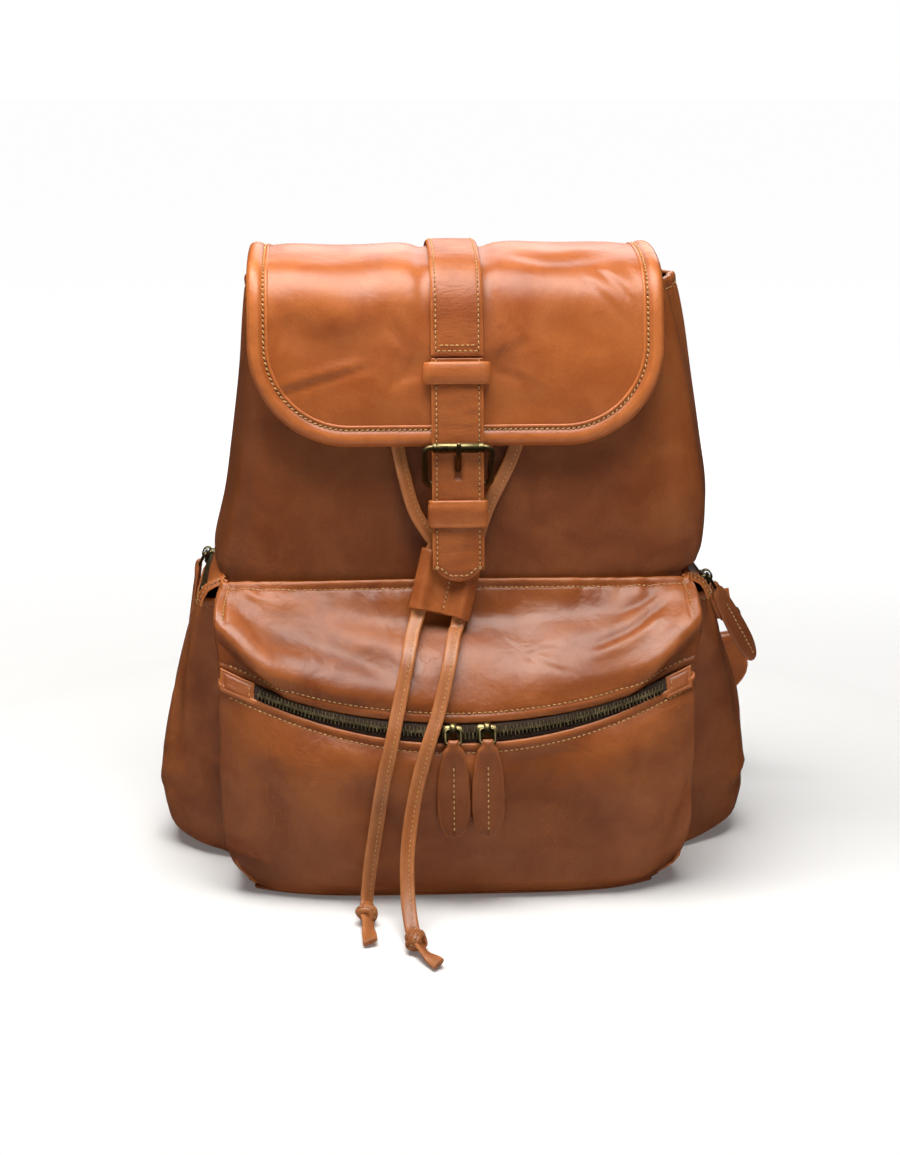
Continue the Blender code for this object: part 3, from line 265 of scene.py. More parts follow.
def crease(flat, route, depth, width, lift=0.5, fade=(0.25, 0.35)):
    """Height of one fold on a sheet's flat coordinates: a valley along route, pushed up beside it.

    fade is the share of the route over which the fold grows at its start and dies at its end.
    """
    line = evenly(spline(route), min(width / 2, 2.0))
    ahead = unit(np.gradient(line, axis=0))
    share = np.linspace(0.0, 1.0, len(line))
    strength = ramp(share, -0.01, fade[0]) * (1 - ramp(share, 1 - fade[1], 1.01))
    points = flat.reshape(-1, 2)
    found = np.zeros(len(points))
    reach = width * 4
    near = np.all((points > line.min(0) - reach) & (points < line.max(0) + reach), axis=1)
    close = points[near]
    apart = close[:, None] - line[None]
    nearest = np.argmin((apart**2).sum(-1), axis=1)
    offset = apart[np.arange(len(close)), nearest]
    way = ahead[nearest]
    across = way[:, 0] * offset[:, 1] - way[:, 1] * offset[:, 0]
    past = np.maximum(np.abs((way * offset).sum(-1)) - 1.5, 0.0)
    valley = np.exp(-((across / width) ** 2))
    lip = np.exp(-(((across - 1.7 * width) / (1.3 * width)) ** 2))
    found[near] = strength[nearest] * (lift * lip - valley) * np.exp(-((past / width) ** 2)) * depth
    return found.reshape(flat.shape[:-1])


def facing(grid, inside, wrap=False):
    """Outward unit normals of a grid of points."""
    if wrap:
        across = np.roll(grid, -1, axis=1) - np.roll(grid, 1, axis=1)
    else:
        across = np.gradient(grid, axis=1)
    normals = unit(np.cross(across, np.gradient(grid, axis=0)))
    away = ((grid - np.asarray(inside, float)) * normals).sum()
    return normals if away > 0 else -normals


def raised(grid, height, inside, wrap=False):
    """Grid pushed out along its normals by height."""
    return grid + facing(grid, inside, wrap) * height[..., None]


# Meshes -------------------------------------------------------------------------------------------


def add_mesh(name, points, faces, looks, face_looks=None, tone=None):
    """Mesh piece from points in millimetres. tone is -1 in folds painted dark as shade and 1 on worn-light
    edges.
    """
    mesh = bpy.data.meshes.new(name)
    mesh.from_pydata((np.asarray(points) * MM).tolist(), [], faces)
    for look in looks:
        mesh.materials.append(look)
    if face_looks is not None:
        mesh.polygons.foreach_set("material_index", np.asarray(face_looks, np.int32))
    values = np.zeros(len(mesh.vertices), np.float32) if tone is None else np.asarray(tone, np.float32)
    mesh.attributes.new("tone", "FLOAT", "POINT").data.foreach_set("value", values)
    mesh.shade_smooth()
    made = bpy.data.objects.new(name, mesh)
    bpy.context.scene.collection.objects.link(made)
    return made


def settle(piece, body, replaced=()):
    """Ride and replaced nodes of one piece."""
    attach(piece, body)
    if replaced:
        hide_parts(*replaced)
    return piece


def grid_faces(rows, columns, wrap=False, start=0, turned=False):
    """Quads of a grid of points, numbered from start."""
    last = columns if wrap else columns - 1
    r, c = np.meshgrid(np.arange(rows - 1), np.arange(last), indexing="ij")
    d = (c + 1) % columns
    here, below = r * columns, (r + 1) * columns
    quads = np.stack([here + c, here + d, below + d, below + c], axis=-1).reshape(-1, 4) + start
    return (quads[:, ::-1] if turned else quads).tolist()


def tube_faces(rings, sides, start):
    """Faces of a short tube of rings with a flat cap at each end."""
    last = start + sides * (rings - 1)
    return grid_faces(rings, sides, wrap=True, start=start) + [
        tuple(range(start, start + sides)), tuple(range(last, last + sides)),
    ]


def strip_faces(first, second):
    """Quads between two equal loops of point numbers."""
    following = [(i + 1) % len(first) for i in range(len(first))]
    return [(first[i], first[k], second[k], second[i]) for i, k in enumerate(following)]


def rim_tone(outer, wrap):
    """1 at a grid's open edges, falling to 0 a few millimetres in."""
    rows, columns = outer.shape[:2]
    down = travel(outer[:, columns // 2])
    found = np.repeat(np.minimum(down, down[-1] - down)[:, None], columns, axis=1)
    if not wrap:
        over = travel(outer[rows // 2])
        found = np.minimum(found, np.minimum(over, over[-1] - over)[None, :])
    return np.exp(-found / 1.6)


def slab(name, outer, inner, looks, tone, wrap=False, bulge=0.8):
    """Closed piece between two equal grids of points, with round rims of bulge millimetres.

    looks holds the outer face's material and, if there is a second, the inner face's.
    """
    rows, columns = outer.shape[:2]
    count = rows * columns
    numbers = np.arange(count).reshape(rows, columns)
    near_rows = np.clip(np.arange(rows), 1, rows - 2)
    if wrap:
        rings = [numbers[0], numbers[-1]]
        inward = outer[near_rows]
    else:
        rings = [np.concatenate([numbers[0, :-1], numbers[:-1, -1], numbers[-1, :0:-1], numbers[:0:-1, 0]])]
        inward = outer[np.ix_(near_rows, np.clip(np.arange(columns), 1, columns - 2))]
    outwards = unit((outer - inward).reshape(-1, 3))
    points = [outer.reshape(-1, 3), inner.reshape(-1, 3)]
    tones = [np.asarray(tone, float).ravel(), np.zeros(count)]
    faces = grid_faces(rows, columns, wrap)
    face_looks = [0] * len(faces) + [len(looks) - 1] * len(faces)
    faces += grid_faces(rows, columns, wrap, count, turned=True)
    total = 2 * count
    for ring in rings:
        points.append((points[0][ring] + points[1][ring]) / 2 + outwards[ring] * bulge)
        tones.append(np.full(len(ring), 0.7))
        rim = np.arange(total, total + len(ring))
        total += len(ring)
        side = strip_faces(ring.tolist(), rim.tolist()) + strip_faces(rim.tolist(), (ring + count).tolist())
        faces += side
        face_looks += [0] * len(side)
    tones = np.clip(np.concatenate(tones), -1, 1)
    piece = add_mesh(name, np.vstack(points), faces, looks, face_looks, tones)
    fix_normals(piece)
    return piece


def shell(name, outer, thickness, inside, looks, height=None, wrap=False):
    """Closed leather sheet with round edges, from a grid of points on its outer face.

    height is what was already added to the face, so that its ridges wear light and its folds get painted
    shade.
    """
    tone = rim_tone(outer, wrap)
    if height is not None:
        tone = tone + np.clip(height * 0.22, -0.7, 0.4)
    inner = outer - facing(outer, inside, wrap) * thickness
    return slab(name, outer, inner, looks, tone, wrap, thickness * 0.35)


def fix_normals(piece):
    """Turn every face of a closed piece outwards."""
    work = bmesh.new()
    work.from_mesh(piece.data)
    bmesh.ops.recalc_face_normals(work, faces=work.faces)
    work.to_mesh(piece.data)
    work.free()


def loft(name, rings, looks, tone=None, closed=False):
    """Closed piece through equal rings of points (stations, ring, xyz)."""
    stations, size = rings.shape[:2]
    points = rings.reshape(-1, 3)
    faces = grid_faces(stations, size, wrap=True)
    if closed:
        last = (stations - 1) * size
        faces += strip_faces(list(range(last, last + size)), list(range(size)))
    else:
        ends = np.array([rings[0].mean(0), rings[-1].mean(0)])
        points = np.vstack([points, ends])
        for ring_start, centre in ((0, len(points) - 2), ((stations - 1) * size, len(points) - 1)):
            faces += [(ring_start + k, ring_start + (k + 1) % size, centre) for k in range(size)]
        if tone is not None:
            tone = np.concatenate([np.asarray(tone).ravel(), [0.0, 0.0]])
    piece = add_mesh(name, points, faces, looks, tone=None if tone is None else np.asarray(tone).ravel())
    fix_normals(piece)
    return piece


def ringed(centres, across, out, section):
    """Rings of points that carry a section, (n, 2) of (across, out), along centres."""
    return centres[:, None] + across[:, None] * section[..., :1] + out[:, None] * section[..., 1:]


def swept(centres, across, section):
    """The same rings with their across and out directions squared to the run of centres."""
    ahead = unit(np.gradient(centres, axis=0))
    across = unit(across - ahead * (across * ahead).sum(-1, keepdims=True))
    out = np.cross(ahead, across)
    return ringed(centres, across, out, section), across, out


def strap_section(width, thickness, groove=2.7, crown=0.25):
    """Section of a stitched strap: round edges, a crown, and a groove by each edge on its top."""
    half = width / 2
    top = []
    for k in range(41):
        x = half * math.sin(math.pi / 2 * (k / 20 - 1))
        edge = half - abs(x)
        drop = 0.42 * thickness * math.exp(-edge / (0.28 * thickness))
        y = thickness / 2 + crown * (1 - (x / half) ** 2) - drop
        if groove:
            y -= 0.42 * math.exp(-(((edge - groove) / 0.75) ** 2))
        top.append((x, y))
    bottom = []
    for k in range(13):
        x = half * math.sin(math.pi / 2 * (1 - k / 6))
        edge = half - abs(x)
        bottom.append((x, -thickness / 2 + 0.42 * thickness * math.exp(-edge / (0.28 * thickness))))
    side = [(half + 0.12 * thickness, 0.0)]
    return np.array(top + side + bottom + [(-half - 0.12 * thickness, 0.0)])


# One stitch as (share along it, share of its radius, rise): its ends dip into the leather.
STITCH_SHAPE = [
    (-1.0, 0.15, -0.75), (-0.72, 0.8, -0.1), (0.0, 1.0, 0.28), (0.72, 0.8, -0.1), (1.0, 0.15, -0.75),
]
STITCH_SIDES = 6


def stitch_places(run, normals, pitch):
    """Middles of the stitches on a run, with their ahead, across and out directions."""
    along = travel(run)
    count = max(1, int(along[-1] / pitch))
    marks = (np.arange(count) + 0.5) * along[-1] / count
    places, outs, ahead = (
        np.stack([np.interp(marks, along, rows[:, k]) for k in range(3)], axis=-1)
        for rows in (run, normals, np.gradient(run, axis=0))
    )
    outs = unit(outs)
    ahead = unit(ahead - outs * (ahead * outs).sum(-1, keepdims=True))
    return places, ahead, np.cross(outs, ahead), outs


def stitches(name, runs, body, pitch=3.1, length=2.3, radius=0.42, slant=0.0):
    """Thread and needle holes, painted near-black as shade, along runs of (points, normals), as one piece.
    """
    points, faces, face_looks = [], [], []
    turns = 2 * math.pi * np.arange(STITCH_SIDES) / STITCH_SIDES
    for run, normals in runs:
        for place, ahead, across, out in zip(*stitch_places(run, normals, pitch)):
            leaning = ahead * math.cos(slant) + across * math.sin(slant)
            beside = np.cross(out, leaning)
            first = len(points)
            for reach, swell, rise in STITCH_SHAPE:
                centre = place + leaning * (reach * length / 2) + out * (radius * (rise + 0.35))
                points += [
                    centre + (beside * math.cos(t) + out * math.sin(t)) * radius * swell for t in turns
                ]
            thread = tube_faces(len(STITCH_SHAPE), STITCH_SIDES, first)
            # The needle hole is a small sunk cone in near-black: painted shade inside the hole.
            hole = place + ahead * (pitch / 2)
            first = len(points)
            points += [
                hole + (ahead * math.cos(t) + across * math.sin(t)) * 0.5 - out * 0.15 for t in turns
            ]
            points += [hole + out * 0.1, hole - out * 0.6]
            prick = []
            for step in range(STITCH_SIDES):
                corner, following = first + step, first + (step + 1) % STITCH_SIDES
                prick += [(corner, following, first + 6), (following, corner, first + 7)]
            faces += thread + prick
            face_looks += [0] * len(thread) + [1] * len(prick)
    piece = add_mesh(name, np.array(points), faces, [THREAD, NEEDLE_HOLE_SHADE], face_looks)
    fix_normals(piece)
    return settle(piece, body)


# Materials ----------------------------------------------------------------------------------------


class Shader:
    """One node material, built by short calls."""

    def __init__(self, name):
        self.material = bpy.data.materials.new(name)
        self.material.use_nodes = True
        self.tree = self.material.node_tree
        self.principled = self.tree.nodes["Principled BSDF"]
        self.where = self.add("ShaderNodeTexCoord").outputs["Object"]

    def add(self, kind, **settings):
        node = self.tree.nodes.new(kind)
        for name, value in settings.items():
            setattr(node, name, value)
        return node

    def link(self, source, target):
        self.tree.links.new(source, target)

    def put(self, socket, value):
        """Link a socket to an output, or set it."""
        if isinstance(value, bpy.types.NodeSocket):
            self.link(value, socket)
        else:
            socket.default_value = value

    def noise(self, scale, detail=3.0, distortion=0.0, where=None):
        node = self.add("ShaderNodeTexNoise")
        self.link(where or self.where, node.inputs["Vector"])
        node.inputs["Scale"].default_value = scale
        node.inputs["Detail"].default_value = detail
        node.inputs["Distortion"].default_value = distortion
        return node.outputs["Fac"]

    def voronoi(self, scale, feature="F1", where=None):
        node = self.add("ShaderNodeTexVoronoi", feature=feature)
        self.link(where or self.where, node.inputs["Vector"])
        node.inputs["Scale"].default_value = scale
        return node.outputs["Distance"]

    def stretched(self, scale):
        node = self.add("ShaderNodeMapping")
        self.link(self.where, node.inputs["Vector"])
        node.inputs["Scale"].default_value = scale
        return node.outputs["Vector"]

    def maths(self, operation, first, second=0.0):
        node = self.add("ShaderNodeMath", operation=operation)
        self.put(node.inputs[0], first)
        self.put(node.inputs[1], second)
        return node.outputs["Value"]

    def span(self, value, low, high, to_low, to_high):
        node = self.add("ShaderNodeMapRange")
        self.link(value, node.inputs["Value"])
        limits = {"From Min": low, "From Max": high, "To Min": to_low, "To Max": to_high}
        for name, number in limits.items():
            node.inputs[name].default_value = number
        return node.outputs["Result"]

    def mix(self, share, first, second, blend="MIX"):
        node = self.add("ShaderNodeMix", data_type="RGBA", blend_type=blend)
        self.put(node.inputs["Factor"], share)
        self.put(node.inputs[6], first)
        self.put(node.inputs[7], second)
        return node.outputs[2]

    def tone(self):
        return self.add("ShaderNodeAttribute", attribute_name="tone").outputs["Fac"]

    def set(self, **values):
        for name, value in values.items():
            self.put(self.principled.inputs[name.replace("_", " ")], value)

    def bump(self, height):
        """Bump from a height in metres."""
        node = self.add("ShaderNodeBump")
        node.inputs["Strength"].default_value = 1.0
        node.inputs["Distance"].default_value = 1.0
        self.link(height, node.inputs["Height"])
        self.link(node.outputs["Normal"], self.principled.inputs["Normal"])


# Height of leather's finest relief, in metres.
GRAIN = 0.00003


def leather(name, base, dark, light, pebble=0.0, gloss=(0.34, 0.50), wrinkle=0.00012, coat=0.05):
    """Waxed leather: clouded colour, worn ridges, painted shade in folds, fine wrinkles, pores and pebbles.
    """
    s = Shader(name)
    clouds = s.span(s.noise(8.0, 4.0, 0.6), 0.34, 0.68, 0.0, 1.0)
    patches = s.span(s.noise(38.0, 5.0, 0.8), 0.36, 0.66, 0.0, 1.0)
    colour = s.mix(clouds, (*dark, 1), (*base, 1))
    colour = s.mix(s.maths("MULTIPLY", patches, 0.42), colour, (*light, 1))
    speckle = s.span(s.noise(900.0, 2.0), 0.35, 0.7, 0.90, 1.05)
    grey = s.add("ShaderNodeCombineColor")
    for socket in grey.inputs:
        s.link(speckle, socket)
    colour = s.mix(1.0, colour, grey.outputs["Color"], "MULTIPLY")
    tone = s.tone()
    worn = s.span(tone, 0.15, 1.0, 0.0, 0.75)
    worn = s.maths("MULTIPLY", worn, s.span(s.noise(120.0, 3.0), 0.3, 0.6, 0.45, 1.0))
    colour = s.mix(worn, colour, (*[min(1.0, v * 1.35) for v in light], 1))
    # Painted shade: where tone is below zero, in folds and hollows, the colour goes towards a deep brown.
    painted_fold_shade = s.span(tone, -0.9, -0.1, 0.55, 0.0)
    colour = s.mix(painted_fold_shade, colour, (*[v * 0.45 for v in dark], 1))
    scuffs = s.maths("ABSOLUTE", s.maths("SUBTRACT", s.noise(34.0, 6.0, 1.6), 0.5))
    lines = s.span(scuffs, 0.0, 0.022, 1.0, 0.0)
    where_lines = s.span(s.noise(14.0, 2.0), 0.5, 0.66, 0.0, 1.0)
    lines = s.maths("MULTIPLY", lines, where_lines)
    colour = s.mix(s.maths("MULTIPLY", lines, 0.08), colour, (*[min(1.0, v * 1.5) for v in light], 1))
    s.set(Base_Color=colour, Roughness=s.span(s.noise(22.0, 5.0, 0.4), 0.3, 0.7, *gloss))
    s.set(Coat_Weight=coat, Coat_Roughness=0.24, IOR=1.44)
    pores = s.maths("MULTIPLY", s.noise(1100.0, 3.0), GRAIN)
    fine = s.maths("MULTIPLY", s.noise(260.0, 4.0, 0.8), GRAIN * 2.2)
    folds = s.maths("MULTIPLY", lines, -wrinkle * 0.35)
    slow = s.maths("MULTIPLY", s.noise(48.0, 3.0, 0.5), wrinkle * 5.0)
    height = s.maths("ADD", s.maths("ADD", pores, fine), s.maths("ADD", folds, slow))
    if pebble:
        cells = s.voronoi(520.0, "SMOOTH_F1", s.stretched((0.7, 1.0, 1.35)))
        height = s.maths("ADD", height, s.maths("MULTIPLY", cells, -pebble))
        waves = s.noise(130.0, 3.0, 1.2, where=s.stretched((0.45, 1.0, 1.6)))
        height = s.maths("ADD", height, s.maths("MULTIPLY", waves, pebble * 2.4))
    s.bump(height)
    return s.material


def metal(name, bright, dull, rough=(0.26, 0.5)):
    """Antique brass: polished where rubbed, dark in the patina."""
    s = Shader(name)
    patina = s.span(s.noise(160.0, 5.0, 0.5), 0.35, 0.65, 0.0, 1.0)
    rubbed = s.span(s.tone(), 0.0, 1.0, 0.0, 0.7)
    share = s.maths("MAXIMUM", s.maths("MULTIPLY", patina, 0.6), rubbed)
    s.set(Base_Color=s.mix(share, (*dull, 1), (*bright, 1)), Metallic=1.0)
    s.set(Roughness=s.span(s.noise(300.0, 4.0), 0.3, 0.7, rough[1], rough[0]))
    scratches = s.maths("MULTIPLY", s.noise(700.0, 3.0, where=s.stretched((1.0, 1.0, 0.2))), 0.00002)
    s.bump(scratches)
    return s.material


def woven(name, first, second, pitch=0.0009):
    """Plain cloth with a visible weave."""
    s = Shader(name)
    waves = []
    for direction in ("X", "Y", "Z"):
        node = s.add("ShaderNodeTexWave", bands_direction=direction)
        s.link(s.where, node.inputs["Vector"])
        node.inputs["Scale"].default_value = 0.31 / pitch
        node.inputs["Distortion"].default_value = 0.6
        node.inputs["Detail"].default_value = 1.0
        waves.append(node.outputs["Fac"])
    weave = s.maths("MULTIPLY", s.maths("MAXIMUM", waves[0], waves[1]), waves[2])
    shade = s.maths("MULTIPLY", s.noise(60.0, 4.0), 0.8)
    share = s.maths("ADD", s.maths("MULTIPLY", weave, 0.5), shade)
    s.set(Base_Color=s.mix(share, (*first, 1), (*second, 1)))
    s.set(Roughness=0.85)
    s.bump(s.maths("MULTIPLY", weave, 0.00012))
    return s.material


def plain(name, base, other, scale, rough):
    """Simple two-tone material with a fine surface."""
    s = Shader(name)
    s.set(Base_Color=s.mix(s.noise(scale, 4.0), (*base, 1), (*other, 1)), Roughness=rough)
    s.bump(s.maths("MULTIPLY", s.noise(scale * 6, 3.0), 0.00005))
    return s.material


def scaled(colour, share):
    """Colour made lighter or darker."""
    return tuple(value * share for value in colour)


# The leather pieces share TAN, scaled per piece: partly their own colour, partly painted light and shade
# (flap and straps lighter, body and pocket darker, the body for the flap's shadow).
TAN = (0.330, 0.082, 0.0145)
TAN_DARK = (0.235, 0.052, 0.0085)
TAN_LIGHT = (0.450, 0.138, 0.034)
BODY_LOOK = leather("body_leather", scaled(TAN, 0.80), scaled(TAN_DARK, 0.78), scaled(TAN_LIGHT, 0.80))
POCKET_LOOK = leather("pocket_leather", scaled(TAN, 0.93), scaled(TAN_DARK, 0.88), scaled(TAN_LIGHT, 0.95),
                      wrinkle=0.00026)
FLAP_LOOK = leather("flap_leather", scaled(TAN, 1.16), scaled(TAN_DARK, 1.18), scaled(TAN_LIGHT, 1.12),
                    gloss=(0.32, 0.46), coat=0.06)
STRAP_LOOK = leather("strap_leather", scaled(TAN, 1.08), scaled(TAN_DARK, 1.08), scaled(TAN_LIGHT, 1.10),
                     pebble=0.00012, gloss=(0.36, 0.5))
CORD_LOOK = leather("cord_leather", (0.40, 0.135, 0.040), (0.31, 0.092, 0.025), (0.52, 0.205, 0.072))
PULL_LOOK = leather("pull_leather", (0.245, 0.066, 0.017), (0.185, 0.046, 0.011), (0.330, 0.105, 0.032))
LINING = woven("lining", (0.030, 0.015, 0.008), (0.060, 0.032, 0.017))
# The tape's dark brown is partly its own colour and partly painted shade for the hollow of the pocket's
# slot.
TAPE = woven("zip_tape", (0.020, 0.009, 0.004), (0.045, 0.020, 0.009), pitch=0.0007)
BRASS = metal("antique_brass", (0.36, 0.285, 0.125), (0.075, 0.062, 0.030))
TEETH = metal("zip_metal", (0.55, 0.44, 0.22), (0.150, 0.118, 0.062), rough=(0.28, 0.45))
THREAD = plain("thread", (0.62, 0.36, 0.13), (0.44, 0.23, 0.075), 900.0, 0.55)
NEEDLE_HOLE_SHADE = plain("needle_hole_shade", (0.030, 0.012, 0.005), (0.016, 0.006, 0.003), 400.0, 0.9)
BOARD = plain("base_board", (0.20, 0.13, 0.075), (0.12, 0.075, 0.04), 90.0, 0.8)


# Camera, light and floor --------------------------------------------------------------------------


# Soft area lights: name, place, target, size, power and colour.
LIGHTS = (
    ("key", (-0.10, -0.20, 1.05), (-0.02, -0.06, 0.25), (0.95, 0.5), 16.5, (1.0, 0.985, 0.95)),
    ("front", (0.5, -1.7, 0.95), (0.0, 0.0, 0.15), (1.3, 0.9), 0.2, (0.96, 0.98, 1.0)),
    ("side", (-1.3, -0.5, 0.6), (0.0, 0.0, 0.12), (0.5, 1.0), 0.5, (0.96, 0.98, 1.0)),
    ("back", (0.3, 1.4, 1.1), (0.0, 0.0, 0.2), (1.2, 0.8), 9.0, (1.0, 1.0, 1.0)),
)


def add_camera():
    """Camera in front of the bag, a little to its left and above it."""
    data = bpy.data.cameras.new("camera")
    data.lens = CAMERA_LENS
    made = bpy.data.objects.new("camera", data)
    made.location = CAMERA_AT
    made.rotation_euler = (Vector(CAMERA_LOOKS_AT) - Vector(CAMERA_AT)).to_track_quat("-Z", "Y").to_euler()
    bpy.context.scene.collection.objects.link(made)
    bpy.context.scene.camera = made


def add_light(name, where, target, size, power, colour):
    """One rectangular area light that looks at its target."""
    data = bpy.data.lights.new(name, "AREA")
    data.shape = "RECTANGLE"
    data.size, data.size_y = size
    data.energy = power
    data.color = colour
    made = bpy.data.objects.new(name, data)
    made.location = where
    made.rotation_euler = (Vector(target) - Vector(where)).to_track_quat("-Z", "Y").to_euler()
    bpy.context.scene.collection.objects.link(made)


def add_studio():
    """White background for the camera only, weak grey light from all round, the lights and the floor."""
    world = bpy.data.worlds.new("studio")
    bpy.context.scene.world = world
    world.use_nodes = True
    nodes, links = world.node_tree.nodes, world.node_tree.links
    background = nodes["Background"]
    background.inputs["Color"].default_value = (0.97, 0.98, 1.0, 1.0)
    background.inputs["Strength"].default_value = WORLD_LIGHT
    white = nodes.new("ShaderNodeBackground")
    white.inputs["Color"].default_value = (1.0, 1.0, 1.0, 1.0)
    seen = nodes.new("ShaderNodeLightPath")
    mixed = nodes.new("ShaderNodeMixShader")
    links.new(seen.outputs["Is Camera Ray"], mixed.inputs["Fac"])
    links.new(background.outputs["Background"], mixed.inputs[1])
    links.new(white.outputs["Background"], mixed.inputs[2])
    links.new(mixed.outputs["Shader"], nodes["World Output"].inputs["Surface"])
    for row in LIGHTS:
        add_light(*row)
    add_floor()


def add_floor():
    """Pale round floor that brightens away from the bag until it meets the white background."""
    turns = 2 * math.pi * np.arange(FLOOR_SIDES) / FLOOR_SIDES
    points = [(FLOOR_RADIUS * math.cos(t), FLOOR_RADIUS * math.sin(t), 0.0) for t in turns]
    mesh = bpy.data.meshes.new("floor")
    mesh.from_pydata(points, [], [tuple(range(FLOOR_SIDES))])
    s = Shader("floor")
    away = s.add("ShaderNodeVectorMath", operation="LENGTH")
    s.link(s.where, away.inputs[0])
    glow = s.span(away.outputs["Value"], *FLOOR_GLOW_SPAN, FLOOR_GLOW, FLOOR_GLOW_FAR)
    s.set(Base_Color=(0.80, 0.80, 0.80, 1.0), Roughness=0.8)
    s.set(Emission_Color=(1.0, 1.0, 1.0, 1.0), Emission_Strength=glow)
    mesh.materials.append(s.material)
    floor = bpy.data.objects.new("floor", mesh)
    bpy.context.scene.collection.objects.link(floor)
    floor.visible_glossy = False
    bpy.context.scene.view_settings.view_transform = "Standard"


add_camera()
add_studio()


# Cords, toggle and knots --------------------------------------------------------------------------


def toggle_axes():
    """Across, down and out directions of the toggle."""
    lean = math.radians(TOGGLE_LEAN)
    down = Vector((0.0, -math.sin(lean), -math.cos(lean)))
    out = Vector((0.0, -math.cos(lean), math.sin(lean)))
    turn = Matrix.Rotation(math.radians(TOGGLE_TURN), 3, out)
    across = turn @ Vector((-1.0, 0.0, 0.0))
    return np.array(across), np.array(turn @ down), np.array(out)


def cord_route(side, channel, hang):
    """Route of one free cord: eyelet, under the flap, through the toggle and down to its knot."""
    across, down, _ = toggle_axes()
    middle = TOGGLE_CENTRE + across * (channel * TOGGLE_CHANNEL)
    through = [middle + down * y for y in (-24, -19, -6, 6, 19, 24)]
    under = [(side * out, y, z) for out, y, z in UNDER_FLAP_ROUTE]
    start = EYELET_STARTS[side]
    return evenly(spline([start, *under, (side * 22.5 - 4.0, -66.3, 230.0), *through, *hang]), 3.0)


def cord_section():
    """Folded flat cord: round edges and a groove for its stitches at two thirds of its width."""
    points = []
    for k in range(28):
        turn = 2 * math.pi * k / 28
        x = math.copysign(abs(math.cos(turn)) ** 0.62, math.cos(turn)) * CORD_WIDTH / 2
        y = math.copysign(abs(math.sin(turn)) ** 0.75, math.sin(turn)) * CORD_THICKNESS / 2
        if y > 0:
            y -= 0.6 * math.exp(-(((x - 1.3) / 0.8) ** 2))
        points.append((x, y))
    return np.array(points)


def cord_sides(route, lay):
    """Width direction along a cord: across the view, rolled a little so that it looks handled.

    lay is the roll at its start, the size and the half turns of its sway, and its last turn, in degrees.
    """
    share = np.linspace(0.0, 1.0, len(route))
    start, sway, waves, last = lay
    roll = np.radians(start + sway * np.sin(share * math.pi * waves) + last * ramp(share, 0.86, 1.0))
    ahead = unit(np.gradient(route, axis=0))
    base = unit(RIGHT - ahead * ahead[:, :1])
    out = np.cross(base, ahead)
    return base * np.cos(roll)[:, None] + out * np.sin(roll)[:, None]


def build_cord(name, route, lay):
    """One free cord with its stitches."""
    section = cord_section()
    _, across, out = swept(route, cord_sides(route, lay), section)
    out = np.where((out[:, 1] > 0)[:, None], -out, out)
    rings = ringed(route, across, out, section)
    tone = np.tile(np.abs(section[:, 0]) / CORD_WIDTH * 1.1, (len(route), 1))
    cord = loft(name, rings, [CORD_LOOK], tone=tone)
    settle(cord, "bag", ["cord_" + name.split("_")[-1]])
    line = route + across * 1.3 + out * (CORD_THICKNESS / 2 - 0.5)
    stitches(name + "_thread", [(line[2:-2], out[2:-2])], "bag", 2.9, 1.8, 0.34)
    length = travel(route)[-1] * MM


def knot_band(name, centre, axes, tilt, size, turned):
    """One flat turn of cord round a knot, its axis tilted from the cord's own direction."""
    ahead, side, up = axes
    axis = ahead * math.cos(tilt) + side * math.sin(tilt)
    wide = side * math.cos(tilt) - ahead * math.sin(tilt)
    section = cord_section() * np.array([0.92, 1.0])
    rings, centres, outs = [], [], []
    for turn in np.linspace(0.0, 2 * math.pi, 61)[:-1] + turned:
        slide = 1.3 * math.sin(2 * turn)
        radial = wide * (math.cos(turn) * size[0]) + up * (math.sin(turn) * size[1])
        out = unit(wide * (math.cos(turn) / size[0]) + up * (math.sin(turn) / size[1]))
        middle = centre + radial + axis * slide
        deep = section[:, 1:] - 0.11 * section[:, :1] ** 2
        rings.append(middle + axis * section[:, :1] + out * deep)
        centres.append(middle + axis * 1.2 + out * (CORD_THICKNESS / 2 - 0.6))
        outs.append(out)
    rings = np.array(rings)
    rings[..., 2] = np.maximum(rings[..., 2], 0.4)
    tone = np.tile(np.abs(section[:, 0]) / 8.0, (len(rings), 1))
    band = loft(name, rings, [CORD_LOOK], tone=tone, closed=True)
    run = (np.array(centres + centres[:1]), np.array(outs + outs[:1]))
    stitches(name + "_thread", [run], "bag", 2.9, 1.8, 0.34)
    return band


